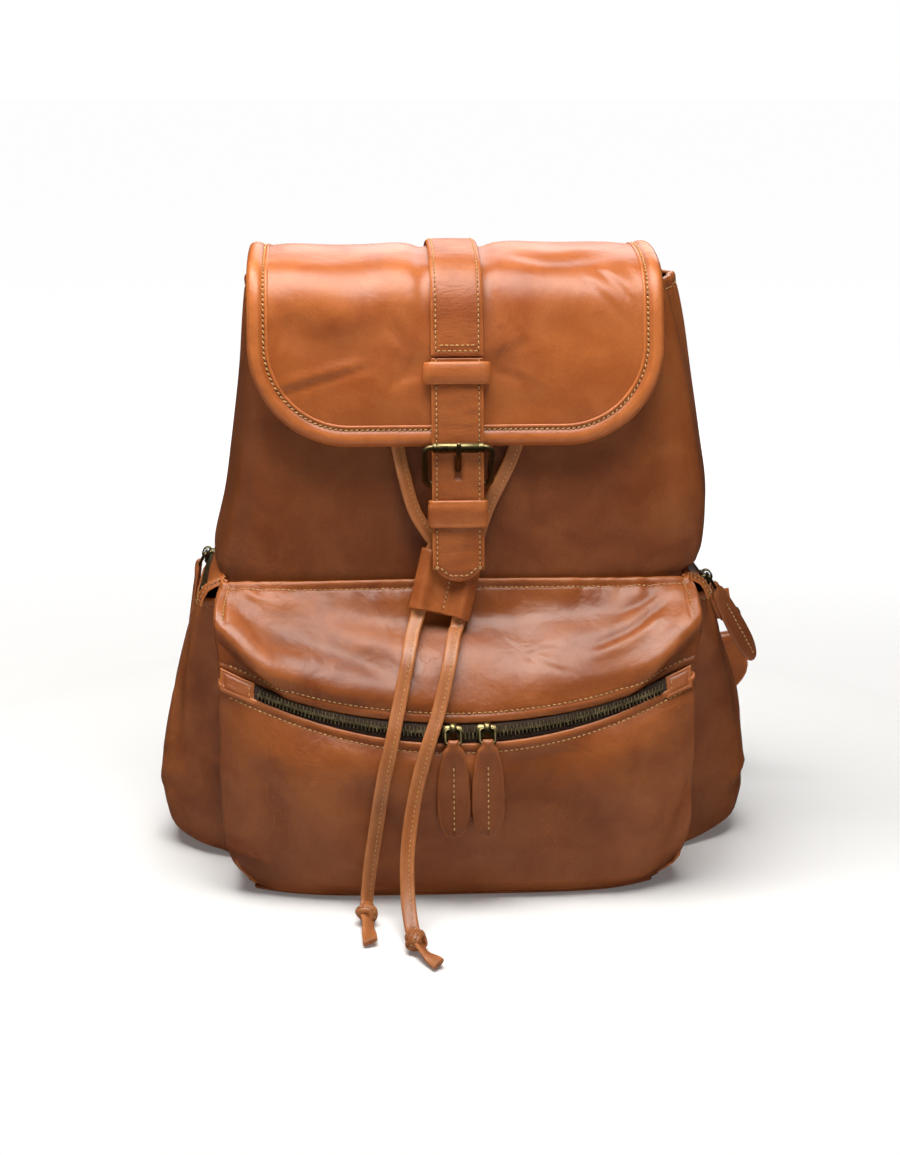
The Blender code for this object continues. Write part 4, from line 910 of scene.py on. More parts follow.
def build_knot(name, route, turned):
    """Overhand knot: two flat turns that cross round the cord's end, and the tail out of them."""
    line = evenly(spline(route), 1.2)
    centre = np.asarray(route[1], float) + np.array([0.0, -0.5, -0.6])
    ahead = unit(np.asarray(route[2], float) - np.asarray(route[0], float))
    side = unit(np.cross(ahead, UP))
    axes = (ahead, side, np.cross(side, ahead))
    knot = knot_band(name, centre + ahead * 1.2, axes, turned, (5.4, 4.6), 0.4)
    settle(knot, "bag", ["knot_" + name.split("_")[-1]])
    second = knot_band(name + "_turn", centre - ahead * 1.8, axes, -turned * 0.8, (4.6, 3.9), 2.0)
    settle(second, "bag")
    tail = line[len(line) // 5:]
    share = np.linspace(0.0, 1.0, len(tail))
    flat = unit(np.cross(np.gradient(tail, axis=0), UP))
    roll = np.radians(28.0 * np.sin(share * 5.0) + 12.0)
    up_rows = np.cross(flat, unit(np.gradient(tail, axis=0)))
    across = flat * np.cos(roll)[:, None] + up_rows * np.sin(roll)[:, None]
    section = cord_section() * np.array([1.0, 0.9])
    rings, _, _ = swept(tail, across, section)
    slant = unit(np.gradient(tail, axis=0))[-1] * 3.0
    rings[-3:] += slant * (section[:, :1] / CORD_WIDTH)
    rings[..., 2] = np.maximum(rings[..., 2], 0.4)
    tone = np.tile(np.abs(section[:, 0]) / 7.0, (len(tail), 1))
    settle(loft(name + "_tail", rings, [CORD_LOOK], tone=tone), "bag")
    return knot


def build_cords():
    """Both free cords and their knots."""
    for side, channel, hang, knot_route, lay, name, turned in (
        (-1, 1, LEFT_CORD_ROUTE, LEFT_KNOT_ROUTE, (8.0, 16.0, 2.2, 24.0), "left", 0.62),
        (1, -1, RIGHT_CORD_ROUTE, RIGHT_KNOT_ROUTE, (-4.0, 10.0, 1.6, 12.0), "right", -0.55),
    ):
        knot = build_knot("cord_knot_" + name, knot_route, turned)
        into_knot = np.asarray(knot_route[1], float) * 0.75 + np.asarray(knot_route[0], float) * 0.25
        route = cord_route(side, channel, [*hang, knot_route[0], into_knot])
        build_cord("free_cord_" + name, route, lay)


build_cords()


# Flat strips of leather ---------------------------------------------------------------------------


class Ribbon:
    """A strip's own space along a run of points: (across, along, out) to a place."""

    def __init__(self, run, across, towards=None):
        self.run = np.asarray(run, float)
        self.along = travel(self.run)
        ahead = unit(np.gradient(self.run, axis=0))
        across = np.broadcast_to(np.asarray(across, float), self.run.shape)
        self.across = unit(across - ahead * (across * ahead).sum(-1, keepdims=True))
        self.out = np.cross(ahead, self.across)
        if towards is not None and (self.out * np.asarray(towards, float)).sum() < 0:
            self.out = -self.out

    def read(self, rows, v):
        return np.stack([np.interp(v, self.along, rows[:, k]) for k in range(3)], axis=-1)

    def __call__(self, u, v, h):
        u, v, h = np.broadcast_arrays(*(np.asarray(a, float) for a in (u, v, h)))
        place = self.read(self.run, v) + self.read(self.across, v) * u[..., None]
        return place + unit(self.read(self.out, v)) * h[..., None]


def outline_distance(u, v, outline):
    """Distance of flat points from a closed outline's edges."""
    points = np.stack([u.ravel(), v.ravel()], axis=-1)
    start = outline
    step = np.roll(outline, -1, axis=0) - start
    square = np.maximum((step**2).sum(-1), 1e-12)
    best = np.full(len(points), np.inf)
    for a, d, s in zip(start, step, square):
        t = np.clip(((points - a) @ d) / s, 0, 1)
        best = np.minimum(best, np.linalg.norm(points - a - t[:, None] * d, axis=1))
    return best.reshape(u.shape)


def strip_outline(half_at, low, high, open_ends):
    """Closed outline of a strip, whose open ends are put far away, so that they aren't rounded."""
    v = np.linspace(low, high, 90)
    half = np.maximum(half_at(v), 0.0)
    first, last = (60.0 if is_open else 0.0 for is_open in open_ends)
    v = v - np.where(v <= low, first, 0.0) + np.where(v >= high, last, 0.0)
    return np.concatenate([np.stack([half, v], -1), np.stack([-half, v], -1)[::-1]])


def smooth_widths(widths):
    """(along, half width) rows as a smooth function."""
    rows = spline(widths, 10)
    return lambda v: np.interp(v, rows[:, 0], rows[:, 1])


def strip(name, place, widths, thickness, look, body, replaced=(), groove=2.7, crown=0.3, thread=0.0,
          dent=None, columns=33, gap=1.7, open_ends=(False, False)):
    """Flat leather strip: round edges, a stitch groove inside its outline, and its thread.

    place turns (across, along, out) into a point, widths holds (along, half width) rows, and dent adds
    height at (across, along).
    """
    low, high = widths[0][0], widths[-1][0]
    half_at = smooth_widths(widths) if len(widths) > 2 else (lambda v: np.interp(v, *np.transpose(widths)))
    v = low + graded(high - low, gap, 0.45, min(2.7, (high - low) / 6))
    shares = np.sin(np.linspace(-math.pi / 2, math.pi / 2, columns))
    half = np.maximum(half_at(v), 0.4)
    u = half[:, None] * shares
    v = np.repeat(v[:, None], columns, axis=1)
    apart = outline_distance(u, v, strip_outline(half_at, low, high, open_ends))
    drop = 0.45 * thickness * np.exp(-apart / (0.3 * thickness))
    top = thickness / 2 + crown * (1 - shares**2) - drop
    if groove:
        top = top - 0.4 * np.exp(-(((apart - groove) / 0.7) ** 2))
    if dent is not None:
        top = top + dent(u, v)
    # Tone: worn light near the edges, and painted shade where a dent sinks in.
    tone = np.exp(-apart / 0.9) + (0 if dent is None else np.clip(dent(u, v) * 0.5, -1, 0.3))
    front, back = place(u, v, top), place(u, v, drop - thickness / 2)
    piece = slab(name, front, back, [look], tone, bulge=thickness * 0.12)
    settle(piece, body, replaced)
    if groove and thread:
        inset = offset_outline(half_at, low, high, groove, open_ends)
        lift = thickness / 2 + crown * 0.6 - 0.38
        runs = [stitch_run(place, line[:, 0], line[:, 1], lift) for line in inset]
        stitches(name + "_thread", runs, body, thread)
    return piece


def stitch_run(place, u, v, lift):
    """Run and normals of a stitch line on a placed strip."""
    run = place(u, v, lift)
    return run, unit(place(u, v, lift + 1.0) - run)


def offset_outline(half_at, low, high, inset, open_ends):
    """Stitch lines inside a strip's outline: both sides, and across each closed end."""
    v = np.linspace(low, high, 160)
    edge = np.stack([np.maximum(half_at(v), 0.0), v], -1)
    ahead = unit(np.gradient(edge, axis=0))
    moved = edge + np.stack([-ahead[:, 1], ahead[:, 0]], -1) * inset
    first = low + (0.0 if open_ends[0] else inset)
    last = high - (0.0 if open_ends[1] else inset)
    kept = moved[(moved[:, 1] >= first) & (moved[:, 1] <= last) & (moved[:, 0] > 0.3)]
    if len(kept) < 3:
        return []
    mirrored = kept[::-1] * np.array([-1.0, 1.0])
    lines = [kept, mirrored]
    if not open_ends[1]:
        lines = [np.concatenate([kept, mirrored])]
    if not open_ends[0]:
        lines = [np.concatenate([line, line[:1]]) for line in lines] if len(lines) == 1 else lines
    return [evenly(line, 1.0) for line in lines]


def wire(name, path, radius, look, body, replaced=(), sides=12, flat=1.0, towards=(0, -1, 0)):
    """Closed loop of round wire, or flattened by flat towards its outer side, along a path."""
    ahead = unit(np.roll(path, -1, axis=0) - np.roll(path, 1, axis=0))
    out = np.broadcast_to(np.asarray(towards, float), path.shape)
    out = unit(out - ahead * (out * ahead).sum(-1, keepdims=True))
    across = np.cross(ahead, out)
    turns = 2 * math.pi * np.arange(sides) / sides
    wide = np.sign(np.cos(turns)) * np.abs(np.cos(turns)) ** 0.85
    deep = np.sign(np.sin(turns)) * np.abs(np.sin(turns)) ** 0.85 * flat
    rings = path[:, None] + (across[:, None] * wide[:, None] + out[:, None] * deep[:, None]) * radius
    tone = np.tile(0.2 + 0.8 * np.clip(np.sin(turns), 0, 1), (len(path), 1))
    return settle(loft(name, rings, [look], tone=tone, closed=True), body, replaced)


def round_rectangle(half_x, half_y, corner, steps=6):
    """Outline of a rectangle with round corners, as (x, y)."""
    found = []
    for quarter, (sx, sy) in enumerate(((1, 1), (-1, 1), (-1, -1), (1, -1))):
        for k in range(steps + 1):
            turn = math.pi / 2 * (quarter + k / steps)
            found.append((sx * (half_x - corner) + corner * math.cos(turn),
                          sy * (half_y - corner) + corner * math.sin(turn)))
    return np.array(found)


LATHE_STEPS = 40


def lathe(name, profile, centre, axis, look, body, replaced=()):
    """Closed ring turned about an axis, from a profile loop of (radius, along)."""
    axis = unit(np.asarray(axis, float))
    side = unit(np.cross(axis, np.array([0.31, 0.2, 0.93])))
    other = np.cross(axis, side)
    rows = np.asarray(profile, float)
    rings = []
    for k in range(LATHE_STEPS):
        turn = 2 * math.pi * k / LATHE_STEPS
        radial = side * math.cos(turn) + other * math.sin(turn)
        rings.append(np.asarray(centre, float) + rows[:, :1] * radial + rows[:, 1:] * axis)
    tone = np.full((LATHE_STEPS, len(rows)), 0.5)
    piece = loft(name, np.array(rings), [look], tone=tone, closed=True)
    return settle(piece, body, replaced)


# Main bag -----------------------------------------------------------------------------------------


BAG_MIDDLE = (0.0, 0.0, 190.0)
BAG_COLUMNS = 300
BAG_THICKNESS = 3.0
BASE_THICKNESS = 3.6
MOUTH_STITCH_DROP = 6.6
# How far the filled bag swells or slumps past the CAD model's sides, rows (z, left, right).
SIDE_SWELL = [
    (4.4, -3.0, -3.0), (40.0, 0.0, 0.0), (176.0, 0.5, 0.5), (184.0, 2.0, 4.5), (192.0, 3.0, 9.0),
    (204.0, 3.0, 13.0), (233.0, -1.0, 15.5), (266.0, -1.5, 13.0), (300.0, -2.5, 9.5),
    (324.0, -4.5, 6.5), (355.0, -6.5, 3.0), (366.0, -6.5, 2.0),
]


def bag_ring(z):
    """Plan of the bag at height z: a soft bulging rectangle, from the middle of the back."""
    half, front, back = (float(line_at(line, z)) for line in (BODY_HALF_WIDTH, FRONT_LINE, BACK_LINE))
    middle = (front + back) / 2
    depth = (back - front) / 2
    turns = np.linspace(0, 2 * math.pi, 1201) + math.pi / 2
    x = half * np.sign(np.cos(turns)) * np.abs(np.cos(turns)) ** (2 / CORNER_POWER)
    y = depth * np.sign(np.sin(turns)) * np.abs(np.sin(turns)) ** (2 / CORNER_POWER)
    wide = x * (1 - 6.0 / half * (y / depth) ** 2)
    deep = middle + y * (1 - BODY_BULGE / depth * (x / half) ** 2)
    ring = np.stack([wide, deep], -1)
    ring = at_travel(ring, np.linspace(0, travel(ring)[-1], BAG_COLUMNS + 1)[:-1])
    return np.column_stack([ring, np.full(BAG_COLUMNS, z)])


def swollen(grid):
    """Points of the bag with its sides swollen or slumped."""
    rows = spline(SIDE_SWELL, 8)
    x, z = grid[..., 0], grid[..., 2]
    out = np.where(x < 0, np.interp(z, rows[:, 0], rows[:, 1]), np.interp(z, rows[:, 0], rows[:, 2]))
    moved = grid.copy()
    moved[..., 0] += np.sign(x) * out * ramp(np.abs(x), 85.0, 150.0) ** 0.8
    return moved


def build_bag():
    """The main bag as one wall with a rolled mouth, swollen and creased, and its base."""
    heights = 4.4 + graded(BODY_TOP - 4.4, 3.2, 0.9, 9.0)
    outer = swollen(np.array([bag_ring(z) for z in heights]))
    height = bag_height(outer, heights)
    roll = 0.7 * hump(heights, BODY_TOP - 2.0, 2.6) - 0.4 * hump(heights, BODY_TOP - MOUTH_STITCH_DROP, 1.0)
    outer = raised(outer, height + roll[:, None], BAG_MIDDLE, wrap=True)
    walls = ["front_panel", "back_panel", "side_panel_left", "side_panel_right"]
    piece = shell("bag_shell", outer, BAG_THICKNESS, BAG_MIDDLE, [BODY_LOOK, LINING], height, wrap=True)
    settle(piece, "bag", walls)
    build_mouth_thread(outer, heights)
    build_base()


def bag_height(outer, heights):
    """Sculpted height of the bag's wall: soft all over, sagging in front and gathered at the mouth."""
    turns = np.linspace(0, 2 * math.pi, BAG_COLUMNS + 1)[:-1]
    circle = np.stack([np.cos(turns), np.sin(turns)], -1) * 140
    pleats = soft_noise(circle, 17.0, 11, 40)[None] - 0.9
    top = ramp(heights, 296.0, 356.0)[:, None]
    wide = np.abs(outer[..., 0]) / 150
    at_side = ramp(np.abs(outer[..., 0]), 118.0, 140.0)
    flow = soft_noise(outer * np.array([1.0, 1.0, 0.32]), 58.0, 5)
    soft = (0.5 + 1.6 * at_side) * (flow - 0.4) * ramp(heights, 20.0, 120.0)[:, None]
    sag = -1.6 * hump(outer[..., 2], 215.0, 34.0) * (1 - wide) * (outer[..., 1] < 0)
    return top * pleats * 1.35 + soft + sag


def build_mouth_thread(outer, heights):
    """Row of stitches below the turned hem of the mouth."""
    row = int(np.argmin(np.abs(heights - (BODY_TOP - MOUTH_STITCH_DROP))))
    ring = np.vstack([outer[row], outer[row, :1]])
    normals = facing(outer, BAG_MIDDLE, wrap=True)
    out = np.vstack([normals[row], normals[row, :1]])
    stitches("mouth_thread", [(ring - out * 0.1, out)], "bag", 3.6)


def build_base():
    """Leather base with round corners, and the stiffening board's own look."""
    x, y = np.meshgrid(np.linspace(-1.0, 1.0, 60), np.linspace(-1.0, 1.0, 30))
    half_width = 140.0 - 14.0 * np.abs(y) ** 4
    half_depth = 68.0 - 9.0 * np.abs(x) ** 6
    grid = np.stack([x * half_width, y * half_depth, 0 * x], -1)
    piece = shell("base_leather", grid, BASE_THICKNESS, (0.0, 0.0, 100.0), [BODY_LOOK])
    settle(piece, "bag", ["base_panel"])
    recoat("base_board", BOARD)


def recoat(node, look):
    """Give a CAD node that stays visible its material."""
    data = NODES[node].data
    data.materials.clear()
    data.materials.append(look)


build_bag()


# Front pocket -------------------------------------------------------------------------------------


POCKET_INSIDE = (0.0, -80.0, 90.0)
POCKET_THICKNESS = 2.5
SLOT_WIDTH = 146.0
POCKET_CORNER_X = 141.0
# Folds as (route, depth, width, lift), on the panel's own x and z.
UPPER_CREASES = [
    ([(-142.0, 179.0), (-119.0, 164.0), (-87.0, 155.0), (-60.0, 146.0), (-14.0, 130.0)], 2.2, 6.5, 0.5),
    ([(134.0, 176.0), (119.0, 167.0), (104.0, 159.0), (84.0, 152.0), (70.0, 149.0)], 1.7, 2.4, 0.8),
    ([(128.0, 180.0), (112.0, 171.0), (92.0, 163.0)], 1.2, 2.6, 0.6),
    ([(34.0, 151.0), (50.0, 142.0), (70.0, 138.0)], 0.5, 1.5, 0.6),
    ([(30.0, 141.0), (48.0, 148.0), (66.0, 149.0)], 0.4, 1.4, 0.6),
    ([(-135.0, 182.0), (-128.0, 176.0), (-122.0, 172.0)], 0.8, 1.8, 0.9),
    ([(-124.0, 183.0), (-117.0, 178.0), (-108.0, 175.0)], 0.7, 1.7, 0.9),
    ([(-60.0, 172.0), (-20.0, 164.0), (20.0, 165.0), (60.0, 172.0)], 1.2, 9.0, 0.3),
]
LOWER_CREASES = [
    ([(-145.0, 28.0), (-133.0, 25.0), (-117.0, 19.0)], 1.9, 3.4, 0.8),
    ([(145.0, 85.0), (138.0, 60.0), (131.0, 40.0), (121.0, 22.0)], 1.8, 4.2, 0.8),
    ([(-128.0, 92.0), (-112.0, 70.0), (-104.0, 46.0)], 1.5, 9.0, 0.4),
    ([(60.0, 76.0), (84.0, 52.0), (96.0, 24.0)], 1.3, 10.0, 0.4),
    ([(-70.0, 84.0), (-48.0, 56.0), (-40.0, 30.0)], 1.3, 10.0, 0.4),
    ([(8.0, 40.0), (30.0, 26.0), (58.0, 20.0)], 0.9, 7.0, 0.4),
]
# Gusset rows (z, half width, front edge y).
POCKET_SIDE_ROWS = [
    (4.0, 136.0, -108.0), (14.0, 141.5, -110.0), (25.0, 143.5, -112.0), (60.0, 145.5, -114.0),
    (100.0, 146.5, -114.0), (128.0, 146.0, -111.0), (142.0, 146.0, -103.0), (156.0, 146.0, -95.0),
    (168.0, 144.5, -81.0), (179.0, 142.0, -68.0),
]


def slot_half(x):
    """Half height of the zip's slot, which narrows towards its ends."""
    return 6.4 - 2.7 * ramp(np.abs(x), 20.0, 124.0)


def drawn_in(grid):
    """Points of the pocket below its fold, with its sides drawn in and its bottom corners round."""
    x, z = grid[..., 0], grid[..., 2]
    sides = np.where(x < 0, 2.2, 6.0) * (1 - ramp(z, 128.0, 160.0))
    corner = np.where(x < 0, 5.5, 10.0) * (1 - ramp(z, 1.0, 24.0)) ** 2
    moved = grid.copy()
    moved[..., 0] -= np.sign(x) * (sides + corner) * ramp(np.abs(x), 60.0, 147.0) ** 1.5
    return moved


def pocket_row(row, t):
    """Points across the pocket's front at one row, at t from -1 to 1."""
    half, y_centre, y_edge, z_centre, z_edge = row
    y = y_centre + (y_edge - y_centre) * np.abs(t) ** POCKET_EDGE_POWER
    return np.stack([half * t, y, z_centre + (z_edge - z_centre) * t**2], axis=-1)


def zip_point(x, below, out):
    """Point on the front zip's arc: x across, below its centre line and out from its plane."""
    x, below, out = np.broadcast_arrays(*(np.asarray(a, float) for a in (x, below, out)))
    drop = np.sqrt((ZIP_RADIUS + below) ** 2 - x**2)
    across = np.stack([x, 0 * x, 0 * x], axis=-1)
    return ZIP_CENTRE + across + unit(ZIP_DOWN) * drop[..., None] + unit(ZIP_OUT) * out[..., None]


def panel_grid(rows, middle_rows, fine=0.8, margin=8.0):
    """Fine grid through rows of points: each column a smooth line, its rows even in the middle and close
    together near both ends."""
    rows = np.asarray(rows)
    columns = []
    for k in range(rows.shape[1]):
        line = spline(rows[:, k])
        length = travel(line)[-1]
        ends = np.arange(0.0, margin, fine)
        middle = np.linspace(margin, length - margin, middle_rows)
        places = np.concatenate([ends, middle, length - ends[::-1]])
        columns.append(at_travel(line, places))
    return np.stack(columns, axis=1)


EDGE_REACH = 7.0
EDGE_COLUMNS = 6


def turned_back(grid):
    """Grid whose side columns curl back, as the leather turns into its side seam."""
    made = [grid]
    for side, edge in ((0, 0), (1, -1)):
        out = unit(grid[:, edge] - grid[:, 1 if side == 0 else -2])
        back = np.array([0.0, 1.0, 0.0])
        extra = []
        for k in range(1, EDGE_COLUMNS + 1):
            turn = math.pi / 2 * k / EDGE_COLUMNS
            aside, behind = math.sin(turn), 1 - math.cos(turn)
            extra.append(grid[:, edge] + out * aside * EDGE_REACH * 0.30 + back * behind * EDGE_REACH)
        extra = np.stack(extra, axis=1)
        made = [extra[:, ::-1], *made] if side == 0 else [*made, extra]
    return np.concatenate(made, axis=1)


def build_upper_panel(t, slot):
    """Upper front of the pocket, which hangs over the zip and folds over at its ends."""
    rows = [pocket_row(row, t) for row in POCKET_UPPER_ROWS] + [zip_point(SLOT_WIDTH * t, -slot, 0.0)]
    grid = drawn_in(panel_grid(rows, 44))
    x, z = grid[..., 0], grid[..., 2]
    down = distance_down(grid)
    to_slot = down[-1] - down
    height = 0.9 * soft_noise(grid, 52.0, 21) + 0.45 * soft_noise(grid, 24.0, 22)
    height -= crease_depths(grid[..., [0, 2]], UPPER_CREASES)
    height = height * ramp(down, 2.0, 14.0) * ramp(to_slot, 3.0, 14.0) + overhang(x, z)
    height += puckers(down, x, 31, 16.0)
    seams = 1.1 * hump(down, 1.6, 2.4) - 0.5 * hump(down, 5.4, 0.9)
    seams += 0.8 * hump(to_slot, 2.2, 2.6) - 0.45 * hump(to_slot, 5.2, 0.8)
    seams -= 0.8 * hump(np.abs(x), POCKET_CORNER_X, 0.9) * ramp(z, 163.0, 168.0)
    made = raised(grid, height + seams, POCKET_INSIDE)
    finish_panel("pocket_upper", made, height, ["front_pocket_upper"], [(down, 5.4), (to_slot, 5.2)])
    build_corner_thread(grid, made)


def build_corner_thread(grid, made):
    """Short rows of stitches down the two corner seams of the upper panel."""
    normals = facing(made, POCKET_INSIDE)
    runs = []
    for _, side in SIDES:
        column = int(np.argmin(np.abs(grid[8, :, 0] - side * POCKET_CORNER_X)))
        rows = np.where(grid[:, column, 2] > 166.0)[0][4:]
        runs.append((made[rows, column], normals[rows, column]))
    stitches("pocket_corner_thread", runs, "bag", 3.0)


def build_lower_panel(t, slot):
    """Lower front of the pocket, which hangs from the zip and turns under at the floor."""
    rows = [zip_point(SLOT_WIDTH * t, slot, 0.0)] + [pocket_row(row, t) for row in POCKET_LOWER_ROWS]
    grid = drawn_in(panel_grid(rows, 44))
    down = distance_down(grid)
    to_base = down[-1] - down
    height = 1.1 * soft_noise(grid * np.array([1.0, 1.0, 0.7]), 64.0, 23) + 0.4 * soft_noise(grid, 26.0, 24)
    height -= crease_depths(grid[..., [0, 2]], LOWER_CREASES)
    height *= ramp(down, 3.0, 14.0) * ramp(to_base, 1.0, 12.0)
    low_corner = ramp(np.abs(grid[..., 0]), 100.0, 140.0) * (1 - ramp(grid[..., 2], 6.0, 46.0))
    height -= 5.5 * low_corner**2
    height -= 2.2 * (1 - ramp(to_base, 0.0, 9.0))
    seam = 0.8 * hump(down, 2.2, 2.6) - 0.45 * hump(down, 5.2, 0.8)
    made = raised(grid, height + seam, POCKET_INSIDE)
    made[..., 2] = np.maximum(made[..., 2], 3.0)
    finish_panel("pocket_lower", made, height, ["front_pocket_lower"], [(down, 5.2)])


def build_pocket_panels():
    """Upper and lower fronts of the pocket, with the zip's slot between them."""
    t = graded(2.0, 0.019, 0.0065, 0.05) - 1.0
    slot = slot_half(SLOT_WIDTH * t)
    build_upper_panel(t, slot)
    build_lower_panel(t, slot)


def overhang(x, z):
    """Height that makes the upper panel's ends hang over a fold that runs down and inwards to the zip."""
    fold = 163.0 - 0.86 * (148.0 - np.abs(x))
    above = z - fold
    near_end = ramp(np.abs(x), 92.0, 128.0)
    pillow = 3.4 * ramp(above, -1.5, 5.0) * (1 - 0.75 * ramp(above, 8.0, 22.0))
    hollow = -3.6 * (1 - ramp(above, -3.0, 2.0))
    return near_end * (pillow + hollow)


def crease_depths(flat, creases):
    """Sum of the creases on a sheet's flat coordinates, as a depth."""
    return -sum(crease(flat, *entry) for entry in creases)


def puckers(down, across, seed, reach):
    """Short gathers where a seam pulls the leather in."""
    line = np.stack([across, 0 * across], axis=-1)
    return 0.42 * soft_noise(line, 7.0, seed, 30) * np.exp(-((down - 6.0) / (reach * 0.5)) ** 2)


def finish_panel(name, made, height, replaced, seams):
    """Front panel with its side edges turned back, and its rows of stitches."""
    curled = turned_back(made)
    margin = (curled.shape[1] - made.shape[1]) // 2
    tone = np.pad(height, ((0, 0), (margin, margin)), mode="edge")
    settle(shell(name, curled, POCKET_THICKNESS, POCKET_INSIDE, [POCKET_LOOK, LINING], tone), "bag",
           replaced)
    normals = facing(made, POCKET_INSIDE)
    runs = []
    for distance, wanted in seams:
        rows = np.argmin(np.abs(distance - wanted), axis=0)
        columns = np.arange(made.shape[1])
        keep = slice(5, -5)
        points, outs = made[rows, columns][keep], normals[rows, columns][keep]
        runs.append((points + outs * 0.05, outs))
    stitches(name + "_thread", runs, "bag", 3.2)


def build_pocket_gusset(name, side):
    """Side wall of the front pocket, from the bag to the front panels."""
    rows = []
    for z, half, front in POCKET_SIDE_ROWS:
        back = float(line_at(FRONT_LINE, z)) + 5.0
        shares = np.linspace(0.0, 1.0, 30)
        y = front + 1.0 + (back - front) * shares
        x = half - 2.2 + 3.4 * np.sin(shares * math.pi) ** 0.8 + shares
        rows.append(np.stack([side * x, y, np.full(30, z)], -1))
    inside = (side * 60.0, -85.0, 90.0)
    grid = drawn_in(panel_grid(rows, 36, fine=1.5, margin=6.0))
    height = 0.9 * soft_noise(grid, 34.0, 40 + side)
    made = raised(grid, height, inside)
    piece = shell("pocket_gusset_" + name, made, 2.4, inside, [POCKET_LOOK, LINING], height)
    settle(piece, "bag", ["front_pocket_side_" + name])


def build_pocket_floor():
    """Floor of the front pocket."""
    front = drawn_in(pocket_row(POCKET_LOWER_ROWS[-1], np.linspace(-1.0, 1.0, 60)))
    front = front * np.array([0.95, 0.96, 1.0])
    rows = []
    for share in np.arange(16) / 15:
        row = front.copy()
        row[:, 1] += (-70.5 - row[:, 1]) * share
        row[:, 2] = 0.5
        rows.append(row)
    piece = shell("pocket_base", np.array(rows), 2.6, (0.0, -95.0, 60.0), [POCKET_LOOK])
    settle(piece, "bag", ["front_pocket_floor"])


build_pocket_panels()
for side_name, side_sign in SIDES:
    build_pocket_gusset(side_name, side_sign)
build_pocket_floor()


# Zips ---------------------------------------------------------------------------------------------


TAPE_HALF = 6.4
TOOTH_STEP = 2.3
# One tooth as (across the zip, half width along it).
TOOTH_SHAPE = [(-3.0, 0.42), (-0.4, 0.42), (0.3, 0.62), (0.8, 0.48), (1.0, 0.25)]
# Half widths of a leather pull along its length, from its fold over the ring.
PULL_WIDTHS = [
    (-2.7, 2.9), (-1.0, 3.4), (1.2, 3.6), (2.6, 5.4), (5.0, 6.3), (10.0, 7.5), (17.0, 8.6), (26.0, 9.4),
    (35.0, 9.6), (42.0, 9.3), (47.5, 8.2), (51.5, 6.3), (54.2, 4.0), (55.8, 0.6),
]
PULL_END = 56.0
PULL_FOLD = 2.7


def front_zip_frame(s):
    """Place and directions (along, down, out) of the front zip at s millimetres from its middle."""
    turn = s / ZIP_RADIUS
    here = zip_point(ZIP_RADIUS * np.sin(turn), 0.0, 0.0)
    down = unit(zip_point(ZIP_RADIUS * np.sin(turn), 1.0, 0.0) - here)
    out = np.broadcast_to(unit(ZIP_OUT), down.shape)
    return here, np.cross(down, out), down, out


def side_zip_frame(side):
    """The same for one side zip, whose middle faces the bag's own middle."""
    out = unit(np.array([side * SIDE_ZIP_OUT[0], 0.0, SIDE_ZIP_OUT[1]]))
    down = unit(np.array([side * SIDE_ZIP_OUT[1], 0.0, -SIDE_ZIP_OUT[0]]))

    def frame_at(s):
        s = np.asarray(s, float)
        here = np.stack([0 * s + side * SIDE_ZIP_AT[0], s, 0 * s + SIDE_ZIP_AT[1]], axis=-1)
        along = np.broadcast_to(np.array([0.0, 1.0, 0.0]), here.shape)
        return here, along, np.broadcast_to(down, here.shape), np.broadcast_to(out, here.shape)

    return frame_at


def build_zip(name, frame_at, reach, replaced, open_span=None):
    """Woven tape, and interlocked teeth that open between two sliders."""
    build_tape(name + "_tape", frame_at(np.linspace(-reach - 4.0, reach + 4.0, 130)))
    points, faces = [], []
    marks = np.arange(-reach + 1.0, reach - 1.0, TOOTH_STEP / 2)
    here, along, down, out = frame_at(marks)
    for k, mark in enumerate(marks):
        side = 1 if k % 2 else -1
        spread = 0.0
        if open_span and open_span[0] < mark < open_span[1]:
            spread = 0.9 * math.sin(math.pi * (mark - open_span[0]) / (open_span[1] - open_span[0]))
        faces += tube_faces(len(TOOTH_SHAPE), 6, len(points))
        for b, w in TOOTH_SHAPE:
            centre = here[k] + down[k] * side * (b - spread)
            tip_drop = 0.25 * (b > 0.8)
            points += [centre + along[k] * x + out[k] * (h - tip_drop) for x, h in tooth_section(w)]
    teeth = add_mesh(name + "_teeth", np.array(points), faces, [TEETH], tone=np.full(len(points), 0.4))
    fix_normals(teeth)
    teeth.data.set_sharp_from_angle(angle=math.radians(40))
    settle(teeth, "bag", replaced)


def build_tape(name, frame):
    """Woven tape under the teeth, with a bead beside them."""
    here, _, down, out = frame
    below = np.array([-TAPE_HALF, -4.6, -4.2, -3.4, -1.6, 0.0, 1.6, 3.4, 4.2, 4.6, TAPE_HALF])
    lift = np.array([-0.6, -0.2, 0.1, 0.0, 0.4, 0.1, 0.4, 0.0, 0.1, -0.2, -0.6])
    grid = here[:, None] + down[:, None] * below[:, None] + out[:, None] * (lift[:, None] - 0.2)
    inner = grid - out[:, None] * 0.8
    settle(slab(name, grid, inner, [TAPE], np.zeros(grid.shape[:2]), bulge=0.1), "bag")


def tooth_section(half):
    """Section of a tooth of that half width, as (along the zip, out)."""
    top = half * 0.6
    return (-half, 0.2), (-half, 1.7), (-top, CHAIN_HEIGHT), (top, CHAIN_HEIGHT), (half, 1.7), (half, 0.2)


